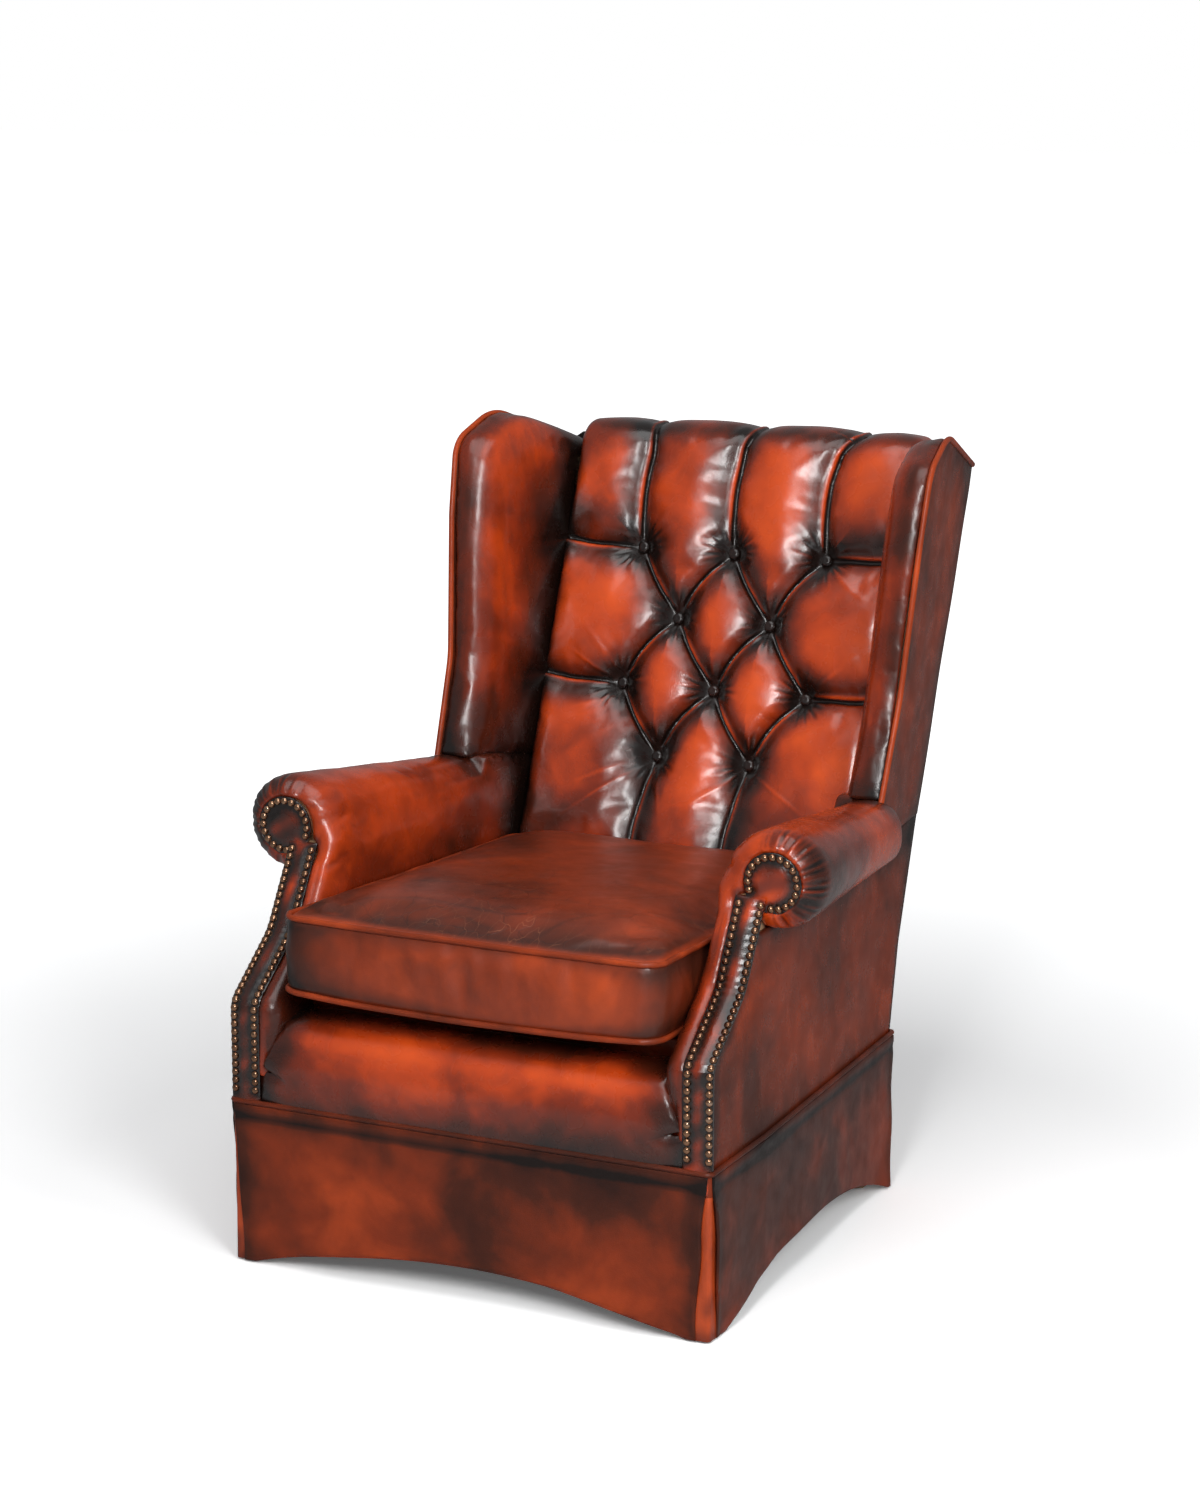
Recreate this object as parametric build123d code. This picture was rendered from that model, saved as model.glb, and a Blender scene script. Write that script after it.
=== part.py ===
from build123d import *
import os
from math import atan, cos, degrees, radians, sin

os.makedirs("parts", exist_ok=True)

# Overall sizes, in millimetres. The chair faces -Y, its left arm stands at -X and +Z is up.
# The origin lies on the floor, under the middle of the chair's outline.
overall_depth = 950
overall_height = 1034

# Base: leather skirt hung from a strip tacked round the seat rails
skirt_height = 216
skirt_thickness = 3.5
strip_thickness = 3
strip_height = 26
welt_radius = 3.5
side_front_half_width = 337
side_rear_half_width = 318
side_taper_start = 170
base_rear_set_in = 295
base_depth = overall_depth - base_rear_set_in
hem_clearance = 3
hem_front_rise = 45
hem_front_reach = 310
hem_side_rise = 56
hem_side_start = 50
hem_side_crest = 285
hem_side_end_set_in = 315
hem_side_end = overall_depth - hem_side_end_set_in
corner_opening_top = 4
corner_opening_foot = 15
pleat_width = 62
pleat_clearance = 0.4
plan_corner_radius = 3

# Frame timber
rail_bottom = 150
rail_height = 100
rail_thickness = 28
rail_set_back = 6
block_leg = 60
foot_top_width = 46
foot_bottom_width = 36
foot_set_in = 4
glide_radius = 11
glide_height = 5
post_width = 30
post_inner_half_width = 276
post_base_depth = 45
stump_inner = 304
stump_outer = 331
stump_depth = 56
top_rail_bottom = 897
frame_top = 955
lower_rail_bottom = 372
lower_rail_height = 48
lower_rail_thickness = 23
arm_rail_thickness = 26
arm_rail_height = 46
board_thickness = 18
board_inset = 24
board_ear_inset = 48

# Leather and cover sheets
leather = 3
panel_thickness = 6
cover_sheet = 4
dust_sheet = 1.5
web_thickness = 2
web_width = 50
web_end_gap = 7
web_fold = 18.7
seat_web_count = 5
cross_web_count = 4
back_web_count = 5
back_web_first = 568
back_web_last = 868

# Arm front, seen from the side: outer face of the nailed facing
facing_front = 7
knee_height = 352
waist_set_back = 100
waist_height = 424
scroll_set_back = 163
neck_height = 530
facing_inner = 300
facing_outer = 341
facing_foot = 192
knee_radius = 28
waist_radius = 70

# Scroll and roll of the arm
scroll_centre_x = 349
scroll_centre_height = 549
scroll_disc_radius = 39
scroll_disc_depth = 34
roll_front_radius = 63
roll_full_set_back = 196
roll_rear_set_in = 378
roll_rear_depth = overall_depth - roll_rear_set_in
roll_rear_centre_x = 326
roll_rear_centre_height = 523
roll_rear_radius = 42
inner_arm_front = 272
inner_arm_rear = 262.3
inner_arm_depth = 650
inner_arm_bottom = 254
arm_edge_radius = 22
arm_slab_top = 541
ruche_count = 11
ruche_depth = 5
ruche_half_width = 6
ruche_start_angle = -75
ruche_end_angle = 170
ruche_run_share = 1.4
ruche_drop_share = 1.6
ruche_lead_share = 0.34
ruche_deep_share = 0.4

# Facing nails
nail_radius = 4.9
nail_height = 2.6
nail_sides = 8
nail_pitch = 10.7
nail_inner_row = 306.5
nail_outer_row = 336
nail_first_height = 229
nail_last_height = 521
loop_radius = 33
loop_start_angle = 200
loop_end_angle = -93
loop_nails = 16
nail_taper = 40
nail_seat = 0.35

# Seat
deck_front_depth = 92
deck_rear_set_in = 304
deck_rear_depth = overall_depth - deck_rear_set_in
soft_clearance = 0.3
border_bulge_depth = 3.5
border_bulge_height = 262
border_face_top = 302
border_face_depth = 9
border_roll_depth = 26
border_roll_height = 327
border_top_depth = 60
border_top_height = 336
border_soft_radius = 24

# Loose seat cushion
cushion_front_half = 266
cushion_rear_half = 256
cushion_rear_clearance = 318
cushion_depth = overall_depth - cushion_rear_clearance
cushion_front_set_back = 6
cushion_boxing = 96
cushion_front_height = 376
cushion_tilt = 2.8
cushion_corner_radius = 26
cushion_drawn_in = 5
cushion_side_radius = 400
cushion_boxing_swell = 2.5
cushion_bottom_crown = 14
cushion_top_crown = 32
piping_radius = 4.2
piping_sides = 8

# Inside back, tufted
pad_half_width = 262
pad_bottom = 340
pad_bend_height = 442
pad_bottom_set_in = 300
pad_bottom_front = overall_depth - pad_bottom_set_in
pad_bend_radius = 60
crest_set_in = 77
crest_depth = overall_depth - crest_set_in
crest_drop = 18
crest_height = overall_height - crest_drop
pad_top_rear_drop = 25
pad_top_rear_height = overall_height - pad_top_rear_drop
crest_radius = 42
pad_rear_radius = 10
pad_end_radius = 46
seat_line_set_in = 112
seat_line_depth = overall_depth - seat_line_set_in
seat_line_height = 848
seat_line_slope = 0.372
web_gap = 6
button_radius = 8.5
button_height = 7
button_sides = 12
button_rim = 3
button_dome_taper = 48
button_rows = (848, 755, 662, 568)
button_pitch = 142
dimple_radius = 46
dimple_neck = 9
pleat_half_width = 32
pleat_depth = 17
pillow_lift = 1.2
side_pleat_rise = 9

# Outside back
back_foot_height = 222
back_knee_set_in = 266
back_knee_depth = overall_depth - back_knee_set_in
back_knee_height = 340
back_panel_foot = 192
back_panel_drop = 49
back_panel_top = overall_height - back_panel_drop
back_top_half_width = 315

# Wings, seen from the side, from the arm up over the ear to the back
wing_foot_set_in = 391
wing_foot_depth = overall_depth - wing_foot_set_in
wing_foot_height = 566
wing_neck_set_in = 340
wing_neck_depth = overall_depth - wing_neck_set_in
wing_neck_height = 700
wing_waist_set_in = 310
wing_waist_depth = overall_depth - wing_waist_set_in
wing_waist_drop = 134
wing_waist_height = overall_height - wing_waist_drop
wing_brow_set_in = 286
wing_brow_depth = overall_depth - wing_brow_set_in
wing_brow_drop = 34
wing_brow_height = overall_height - wing_brow_drop
wing_ear_set_in = 195
wing_ear_depth = overall_depth - wing_ear_set_in
wing_ear_rise = 2
wing_ear_height = overall_height + wing_ear_rise
wing_rear_drop = 62
wing_rear_height = overall_height - wing_rear_drop
wing_seam_rear_height = 541
wing_panel_foot = 508
wing_edge_radius = 24
wing_brow_radius = 46
wing_ear_radius = 90
wing_bend_radius = 160
wing_front_outer_low = 335
wing_front_outer_high = 366
wing_front_inner_low = 281
wing_front_inner_high = 309
wing_rear_inner = 256
wing_piping_radius = 4
overrun = 30


def from_front(depth):
    """Place along Y of a point so far behind the front plane."""
    return depth - overall_depth / 2


def side_at(depth):
    """Half width of the outer body at this depth."""
    taper = (side_front_half_width - side_rear_half_width) / (base_depth - side_taper_start)
    return side_front_half_width - taper * max(depth - side_taper_start, 0)


def seat_line(height):
    """Depth of the plane that the back buttons are pulled to."""
    return seat_line_depth + seat_line_slope * (height - seat_line_height)


back_slope = (overall_depth - back_knee_depth) / (back_panel_top - back_knee_height)


def back_line(height):
    """Depth of the outer face of the outside back, above its knee."""
    return back_knee_depth + back_slope * (height - back_knee_height)


def side_face(points, radii=None):
    """Face in the side view from (depth, height) points, with a radius for each corner."""
    placed = [(from_front(depth), height) for depth, height in points]
    if radii is None:
        outline = Polyline(*placed, close=True)
    else:
        outline = FilletPolyline(*placed, radius=radii, close=True)
    return Plane.YZ * make_face(outline)


def side_slab(points, inner, outer, radii=None):
    """Side view outline with straight faces at two half widths."""
    slab = extrude(side_face(points, radii), amount=outer - inner, dir=(1, 0, 0))
    return Pos(inner, 0, 0) * slab


def plan_column(points, bottom, top):
    """Plan outline of (half width, depth) points raised between two heights."""
    placed = [(across, from_front(depth)) for across, depth in points]
    column = extrude(make_face(Polyline(*placed, close=True)), amount=top - bottom, dir=(0, 0, 1))
    return Pos(0, 0, bottom) * column


def side_strip(offset, thickness, start, end):
    """Plan column that follows the tapered side of the body at an offset inside it."""
    stations = [start] + [side_taper_start] * (start < side_taper_start) + [end]
    outer = [(side_at(depth) - offset, depth) for depth in stations]
    inner = [(across - thickness, depth) for across, depth in reversed(outer)]
    return plan_column(outer + inner, 0, overall_height)


def ruled_block(front_line, rear_line, front_inner, front_outer, rear_inner, rear_outer):
    """Block between a raked front line and a raked rear line, half widths given low and high."""
    ends = []
    front = (front_line, front_inner, front_outer)
    rear = (rear_line, rear_inner, rear_outer)
    for line, inner, outer in (front, rear):
        (low_depth, low), (high_depth, high) = line
        corners = (
            (inner[0], from_front(low_depth), low),
            (outer[0], from_front(low_depth), low),
            (outer[1], from_front(high_depth), high),
            (inner[1], from_front(high_depth), high),
        )
        ends.append(make_face(Polyline(*corners, close=True)))
    return loft(ends, ruled=True)


def arm_profile(shift):
    """Front line of the arm in the side view, moved back by a shift, from foot to scroll."""
    return [
        (facing_front + shift, facing_foot),
        (facing_front + shift, knee_height),
        (waist_set_back + shift, waist_height),
        (scroll_set_back + shift, neck_height),
    ]


arm_profile_radii = [0, knee_radius, waist_radius]


def base_outline(offset):
    """Plan of the body at the seat rails, grown by an offset."""
    rear = side_at(base_depth)
    corners = (
        (side_front_half_width + offset, facing_front - offset),
        (side_front_half_width + offset, side_taper_start),
        (rear + offset, base_depth + offset),
    )
    mirrored = [(-across, depth) for across, depth in reversed(corners)]
    points = [(across, from_front(depth)) for across, depth in list(corners) + mirrored]
    bend = plan_corner_radius + max(offset, 0)
    return FilletPolyline(*points, radius=[bend, bend, bend, bend, bend, bend], close=True)


def base_ring(inner, outer, bottom, top):
    """Band round the body between two offsets."""
    ring = make_face(base_outline(outer)) - make_face(base_outline(inner))
    return Pos(0, 0, bottom) * extrude(ring, amount=top - bottom, dir=(0, 0, 1))


def both_sides(name, solid):
    """Right piece as modelled and left piece mirrored."""
    export_step(solid, f"parts/{name}_right.step")
    export_step(mirror(solid, about=Plane.YZ), f"parts/{name}_left.step")


# Back posts: raked above the seat, upright below it
post_foot_front = base_depth - cover_sheet - post_base_depth
post_points = [
    (base_depth - cover_sheet, rail_bottom),
    (base_depth - cover_sheet, back_foot_height),
    (back_knee_depth - cover_sheet, back_knee_height),
    (back_line(frame_top) - cover_sheet, frame_top),
    (seat_line(frame_top) + web_gap + web_thickness, frame_top),
    (seat_line(lower_rail_bottom + lower_rail_height) + web_gap + web_thickness,
     lower_rail_bottom + lower_rail_height),
    (post_foot_front, rail_bottom + rail_height),
    (post_foot_front, rail_bottom),
]
post_outer = post_inner_half_width + post_width
back_post = side_slab(post_points, post_inner_half_width, post_outer)
both_sides("back_post", back_post)

# Top rail and lower rail between the posts
top_rail = side_slab(
    [
        (seat_line(top_rail_bottom) + web_gap + web_thickness, top_rail_bottom),
        (seat_line(frame_top) + web_gap + web_thickness, frame_top),
        (back_line(frame_top) - cover_sheet, frame_top),
        (back_line(top_rail_bottom) - cover_sheet, top_rail_bottom),
    ],
    -post_inner_half_width,
    post_inner_half_width,
)
export_step(top_rail, "parts/back_top_rail.step")
lower_rail_top = lower_rail_bottom + lower_rail_height
lower_rail = side_slab(
    [
        (back_line(lower_rail_bottom) - cover_sheet, lower_rail_bottom),
        (back_line(lower_rail_top) - cover_sheet, lower_rail_top),
        (back_line(lower_rail_top) - cover_sheet - lower_rail_thickness, lower_rail_top),
        (back_line(lower_rail_bottom) - cover_sheet - lower_rail_thickness, lower_rail_bottom),
    ],
    -post_inner_half_width,
    post_inner_half_width,
)
export_step(lower_rail, "parts/back_lower_rail.step")

# Arm stump: shaped post behind the nailed facing, with the scroll block on its head
stump_front = arm_profile(leather)
stump_rear = [
    (scroll_set_back + leather + scroll_disc_depth, neck_height),
    (waist_set_back + leather + stump_depth, waist_height),
    (facing_front + leather + stump_depth, knee_height),
    (facing_front + leather + stump_depth, rail_bottom),
    (facing_front + leather, rail_bottom),
]
stump_board = side_slab(
    stump_front[1:] + stump_rear,
    stump_inner,
    stump_outer,
    arm_profile_radii[1:] + [0] * (len(stump_rear) + 1),
)
scroll_centre = Pos(scroll_centre_x, from_front(scroll_set_back + leather), scroll_centre_height)
facing_turn = Rot(90, 0, 0)
scroll_block = scroll_centre * facing_turn * Pos(0, 0, -scroll_disc_depth / 2) * Cylinder(
    scroll_disc_radius - leather, scroll_disc_depth
)
arm_stump = stump_board + scroll_block

# Seat rails, corner blocks and feet
front_rail = side_slab(
    [
        (facing_front + leather + rail_set_back, rail_bottom),
        (facing_front + leather + rail_set_back + rail_thickness, rail_bottom),
        (facing_front + leather + rail_set_back + rail_thickness, rail_bottom + rail_height),
        (facing_front + leather + rail_set_back, rail_bottom + rail_height),
    ],
    -stump_inner,
    stump_inner,
)
export_step(front_rail, "parts/seat_rail_front.step")
rear_rail = side_slab(
    [
        (post_foot_front, rail_bottom),
        (post_foot_front + rail_thickness, rail_bottom),
        (post_foot_front + rail_thickness, rail_bottom + rail_height),
        (post_foot_front, rail_bottom + rail_height),
    ],
    -post_inner_half_width,
    post_inner_half_width,
)
export_step(rear_rail, "parts/seat_rail_rear.step")
side_rail_front = facing_front + leather + stump_depth
side_rail_outline = side_slab(
    [
        (side_rail_front, rail_bottom),
        (post_foot_front, rail_bottom),
        (post_foot_front, rail_bottom + rail_height),
        (side_rail_front, rail_bottom + rail_height),
    ],
    0,
    side_front_half_width,
)
side_rail = side_strip(panel_thickness, rail_thickness, side_rail_front, post_foot_front)
side_rail = side_rail & side_rail_outline
both_sides("seat_rail", side_rail)

rail_front_inner = facing_front + leather + rail_set_back + rail_thickness
block_corner = side_at(side_rail_front) - panel_thickness - rail_thickness
front_block = plan_column(
    [
        (block_corner, rail_front_inner),
        (block_corner, rail_front_inner + block_leg),
        (block_corner - block_leg, rail_front_inner),
    ],
    rail_bottom,
    rail_bottom + rail_height,
) - side_rail
both_sides("front_corner_block", front_block - arm_stump)
rear_corner = side_at(post_foot_front) - panel_thickness - rail_thickness
rear_block = plan_column(
    [
        (rear_corner, post_foot_front),
        (rear_corner, post_foot_front - block_leg),
        (rear_corner - block_leg, post_foot_front),
    ],
    rail_bottom,
    rail_bottom + rail_height,
)
both_sides("rear_corner_block", rear_block - side_rail)


def foot(half_width, depth):
    """Tapered foot under a corner of the frame, on a round glide."""
    length = rail_bottom - glide_height
    taper = degrees(atan((foot_top_width - foot_bottom_width) / 2 / length))
    top = Pos(half_width, from_front(depth), rail_bottom) * Rectangle(foot_top_width, foot_top_width)
    leg = extrude(top, amount=length, dir=(0, 0, -1), taper=taper)
    glide = Pos(half_width, from_front(depth), glide_height / 2) * Cylinder(glide_radius, glide_height)
    return leg, glide


front_foot_x = stump_outer - foot_top_width / 2 - foot_set_in
front_foot_depth = facing_front + leather + foot_top_width / 2 + foot_set_in
front_foot, front_glide = foot(front_foot_x, front_foot_depth)
rear_foot_x = post_inner_half_width + post_width - foot_top_width / 2
rear_foot_depth = base_depth - cover_sheet - foot_top_width / 2 - foot_set_in
rear_foot, rear_glide = foot(rear_foot_x, rear_foot_depth)
both_sides("front_foot", front_foot)
both_sides("rear_foot", rear_foot)
glides = [front_glide, rear_glide]
glides += [mirror(glide, about=Plane.YZ) for glide in glides]
export_step(Compound(children=glides), "parts/foot_glides.step")

# Arm rail from the scroll to the back post
arm_rail_front = scroll_set_back + leather + scroll_disc_depth
arm_rail_low = scroll_centre_height - roll_front_radius
arm_rail_rear_low = roll_rear_centre_height - roll_rear_radius
arm_rail_rear_top = arm_rail_rear_low + arm_rail_height
arm_rail_outline = side_slab(
    [
        (arm_rail_front, arm_rail_low),
        (arm_rail_front, arm_rail_low + arm_rail_height),
        (roll_rear_depth, arm_rail_rear_top),
        (seat_line(arm_rail_rear_top) + web_gap + web_thickness, arm_rail_rear_top),
        (seat_line(arm_rail_rear_low) + web_gap + web_thickness, arm_rail_rear_low),
        (roll_rear_depth, arm_rail_rear_low),
    ],
    0,
    side_front_half_width,
)
arm_rail_end = back_line(wing_foot_height)
arm_rail = side_strip(panel_thickness, arm_rail_thickness, arm_rail_front, arm_rail_end)
arm_rail = arm_rail & arm_rail_outline
both_sides("arm_rail", arm_rail)

# Outside arm panel
panel_rear = back_line(wing_panel_foot) - cover_sheet
outside_arm_points = arm_profile(leather)[:3] + [
    (scroll_set_back + leather, arm_rail_low),
    (roll_full_set_back, arm_rail_low),
    (roll_rear_depth, arm_rail_rear_low),
    (roll_rear_depth, wing_panel_foot),
    (panel_rear, wing_panel_foot),
    (back_knee_depth - cover_sheet, back_knee_height),
    (base_depth - cover_sheet, back_foot_height),
    (base_depth - cover_sheet, facing_foot),
]
outside_arm_radii = arm_profile_radii + [0] * 8
outside_arm = side_strip(0, panel_thickness, 0, panel_rear) & side_slab(
    outside_arm_points, 0, side_front_half_width, outside_arm_radii
)
both_sides("outside_arm", outside_arm)
arm_stump = arm_stump - outside_arm - arm_rail

# Facing: leather strip and round end over the front of the stump
facing_strip = side_slab(
    arm_profile(0) + list(reversed(arm_profile(leather))),
    facing_inner,
    facing_outer,
    arm_profile_radii + [0, 0] + list(reversed(arm_profile_radii)),
)
facing_head = scroll_centre * facing_turn * Pos(0, 0, leather / 2) * Cylinder(
    scroll_disc_radius, leather
)
skirt_zone = base_ring(0, overrun, facing_foot, skirt_height + 2 * welt_radius)
arm_facing = facing_strip + facing_head - skirt_zone
both_sides("arm_facing", arm_facing)
arm_stump = arm_stump - arm_facing
both_sides("arm_stump", arm_stump)


def nail_at(place, outward):
    """Domed nail head that stands on the facing."""
    seat = Plane(origin=place, z_dir=outward).offset(nail_seat)
    return seat * extrude(
        RegularPolygon(nail_radius, nail_sides), amount=nail_height, taper=nail_taper
    )


def facing_nails():
    """Two rows up the strip, joined by a loop round the scroll."""
    line = FilletPolyline(
        *[(from_front(depth), height) for depth, height in arm_profile(0)],
        radius=arm_profile_radii[1:],
    )
    path = Wire(line.edges())
    count = int(path.length / nail_pitch)
    nails = []
    for index in range(count + 1):
        share = index / count
        spot = path.position_at(share)
        if not nail_first_height <= spot.Y <= nail_last_height:
            continue
        run = path.tangent_at(share)
        if run.Y < 0:
            run = -run
        outward = Vector(0, -run.Y, run.X)
        for row in (nail_inner_row, nail_outer_row):
            nails.append(nail_at((row, spot.X, spot.Y), outward))
    sweep_angle = loop_start_angle - loop_end_angle
    for index in range(loop_nails + 1):
        angle = radians(loop_start_angle - sweep_angle * index / loop_nails)
        across = scroll_centre_x + loop_radius * cos(angle)
        height = scroll_centre_height + loop_radius * sin(angle)
        nails.append(nail_at((across, from_front(scroll_set_back), height), (0, -1, 0)))
    return nails


right_nails = facing_nails()
both_sides("facing_nails", Compound(children=right_nails))


# Inside arm: pad with its roll, drawn into ruches round the scroll
def inner_arm_at(depth):
    return inner_arm_front - (inner_arm_front - inner_arm_rear) * min(depth / inner_arm_depth, 1)


def roll_section(depth, centre_x, centre_height, radius, scale_share):
    """Cross section of the roll and of the top of the inside arm."""
    inner = inner_arm_at(depth)
    corner_radius = centre_x - inner
    half_turn = sin(radians(45))
    start_height = centre_height + radius - corner_radius

    def scaled(across, height):
        return (
            scroll_centre_x + (across - scroll_centre_x) * scale_share,
            from_front(depth),
            scroll_centre_height + (height - scroll_centre_height) * scale_share,
        )

    low_inner = scaled(inner, centre_height - radius)
    wall_top = scaled(inner, start_height)
    shoulder = scaled(centre_x - corner_radius * half_turn, start_height + corner_radius * half_turn)
    top = scaled(centre_x, centre_height + radius)
    upper = scaled(centre_x + radius * half_turn, centre_height + radius * half_turn)
    side = scaled(centre_x + radius, centre_height)
    lower = scaled(centre_x + radius * half_turn, centre_height - radius * half_turn)
    bottom = scaled(centre_x, centre_height - radius)
    outline = [
        Line(low_inner, wall_top),
        ThreePointArc(wall_top, shoulder, top),
        ThreePointArc(top, upper, side),
        ThreePointArc(side, lower, bottom),
        Line(bottom, low_inner),
    ]
    return Face(Wire(outline))


cap_depth_shares = (0.0, 0.2, 0.52, 1.0)
cap_scale_shares = (0.68, 0.84, 0.95, 1.0)
cap_run = roll_full_set_back - scroll_set_back
cap_sections = []
for depth_share, scale_share in zip(cap_depth_shares, cap_scale_shares):
    depth = scroll_set_back + cap_run * depth_share
    cap_sections.append(
        roll_section(depth, scroll_centre_x, scroll_centre_height, roll_front_radius, scale_share)
    )
roll_cap = loft(cap_sections, ruled=True)
roll_rear = roll_section(
    roll_rear_depth, roll_rear_centre_x, roll_rear_centre_height, roll_rear_radius, 1.0
)
roll_body = loft([cap_sections[-1], roll_rear], ruled=True)

inner_arm_points = [
    (facing_front + leather, inner_arm_bottom),
    (facing_front + leather, knee_height),
    (waist_set_back + leather, waist_height),
    (scroll_set_back + leather, neck_height),
    (scroll_set_back + leather, arm_slab_top),
    (wing_foot_depth, arm_slab_top),
    (roll_rear_depth, wing_foot_height),
    (seat_line(wing_seam_rear_height) + web_gap, wing_seam_rear_height),
    (seat_line(lower_rail_top) + web_gap, lower_rail_top),
    (post_foot_front, inner_arm_bottom),
]
inner_arm_radii = arm_profile_radii + [0] * 7
inner_arm_plan = plan_column(
    [
        (inner_arm_at(0), 0),
        (stump_inner, 0),
        (stump_inner, overall_depth),
        (inner_arm_rear, overall_depth),
        (inner_arm_rear, inner_arm_depth),
    ],
    0,
    overall_height,
)
inner_arm_slab = inner_arm_plan & side_slab(inner_arm_points, 0, overall_height, inner_arm_radii)
front_edges = [
    edge
    for edge in inner_arm_slab.edges()
    if edge.center().X < (inner_arm_front + inner_arm_at(scroll_set_back)) / 2 + soft_clearance
    and edge.center().Y < from_front(scroll_set_back)
    and edge.bounding_box().size.Z > edge.bounding_box().size.Y / 2
    and edge.bounding_box().max.Z < neck_height + soft_clearance
]
inner_arm_slab = fillet(front_edges, arm_edge_radius)
inside_arm = inner_arm_slab + roll_cap + roll_body


def ruche(angle):
    """Cutter for one gathered fold that runs out from the scroll."""
    section = [
        (-ruche_half_width, roll_front_radius + overrun),
        (ruche_half_width, roll_front_radius + overrun),
        (ruche_half_width, roll_front_radius),
        (0, roll_front_radius - ruche_depth),
        (-ruche_half_width, roll_front_radius),
    ]
    near = make_face(Polyline(*section, close=True))
    depth_run = cap_run * ruche_run_share
    far = Pos(0, ruche_depth * ruche_drop_share, depth_run) * near
    lead_in = Pos(0, -roll_front_radius * ruche_lead_share, 0) * near
    middle = Pos(0, 0, depth_run * ruche_deep_share) * near
    wedge = loft([lead_in, middle], ruled=True) + loft([middle, far], ruled=True)
    turned = Rot(0, 0, angle - 90) * wedge
    scroll_front = Pos(scroll_centre_x, from_front(scroll_set_back), scroll_centre_height)
    return scroll_front * Rot(-90, 0, 0) * turned


ruche_step = (ruche_end_angle - ruche_start_angle) / (ruche_count - 1)
for index in range(ruche_count):
    inside_arm = inside_arm - ruche(-(ruche_start_angle + ruche_step * index))
inside_arm = inside_arm - arm_stump - arm_facing - arm_rail - lower_rail

# Back webs between the posts
back_webs = []
for index in range(back_web_count):
    middle = back_web_first + (back_web_last - back_web_first) * index / (back_web_count - 1)
    low = middle - web_width / 2
    high = middle + web_width / 2
    back_webs.append(
        side_slab(
            [
                (seat_line(low) + web_gap, low),
                (seat_line(high) + web_gap, high),
                (seat_line(high) + web_gap + web_thickness, high),
                (seat_line(low) + web_gap + web_thickness, low),
            ],
            -post_inner_half_width - post_width / 2,
            post_inner_half_width + post_width / 2,
        )
    )
export_step(Compound(children=back_webs), "parts/back_webbing.step")

# Side view of the inside back, which the wings and the tufting follow
pad_points = [
    (pad_bottom_front, pad_bottom),
    (pad_bottom_front, pad_bend_height),
    (crest_depth, crest_height),
    (overall_depth, pad_top_rear_height),
    (overall_depth, back_panel_top),
    (overall_depth - cover_sheet, back_panel_top),
    (back_line(frame_top) - cover_sheet, frame_top),
    (seat_line(frame_top) + web_gap, frame_top),
    (seat_line(pad_bottom) + web_gap, pad_bottom),
]
pad_radii = [0, pad_bend_radius, crest_radius, pad_rear_radius, 0, 0, 0, 0, 0]

# Wing: board, inside pad with rolled edge, outside panel and piping
wing_front_line = (
    (wing_foot_depth - overrun, wing_panel_foot),
    (wing_brow_depth - overrun, overall_height),
)
wing_rear_line = (
    (back_line(wing_panel_foot), wing_panel_foot),
    (back_line(overall_height), overall_height),
)
wing_pad_rear_line = (
    (back_line(wing_panel_foot) - cover_sheet, wing_panel_foot),
    (back_line(overall_height) - cover_sheet, overall_height),
)


def wing_layer(outer_offset, inner_offset):
    """Ruled layer of the wing between two offsets from its outer face."""
    outer = [wing_front_outer_low - outer_offset, wing_front_outer_high - outer_offset]
    inner = [wing_front_outer_low - inner_offset, wing_front_outer_high - inner_offset]
    rear_outer = [back_top_half_width - outer_offset] * 2
    rear_inner = [back_top_half_width - inner_offset] * 2
    return ruled_block(wing_front_line, wing_rear_line, inner, outer, rear_inner, rear_outer)


wing_top_points = [
    (wing_foot_depth, wing_foot_height),
    (wing_neck_depth, wing_neck_height),
    (wing_waist_depth, wing_waist_height),
    (wing_brow_depth, wing_brow_height),
    (wing_ear_depth, wing_ear_height),
]
wing_radii = [0, wing_bend_radius, wing_bend_radius, wing_brow_radius, wing_ear_radius]
wing_rear_depth = back_line(wing_rear_height)
outside_wing_points = [(wing_foot_depth, wing_panel_foot)] + wing_top_points + [
    (wing_rear_depth, wing_rear_height),
    (back_line(wing_panel_foot), wing_panel_foot),
]
outside_wing_radii = [0] + wing_radii + [0, 0]
outside_wing = wing_layer(0, cover_sheet) & side_slab(
    outside_wing_points, 0, overall_height, outside_wing_radii
)

post_front_low = seat_line(arm_rail_rear_top) + web_gap + web_thickness
board_rear_top = wing_rear_height - board_inset
board_points = [
    (wing_foot_depth + board_inset, arm_rail_rear_top),
    (wing_neck_depth + board_inset, wing_neck_height),
    (wing_waist_depth + board_inset, wing_waist_height),
    (wing_brow_depth + board_inset, wing_brow_height - board_inset),
    (wing_ear_depth, wing_ear_height - board_ear_inset),
    (seat_line(board_rear_top) + web_gap + web_thickness, board_rear_top),
    (post_front_low, arm_rail_rear_top),
]
wing_board = wing_layer(cover_sheet, cover_sheet + board_thickness) & side_slab(
    board_points, 0, overall_height, [0, wing_bend_radius, wing_bend_radius, board_inset, 0, 0, 0]
)
wing_board = wing_board - back_post
both_sides("wing_board", wing_board)

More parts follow.
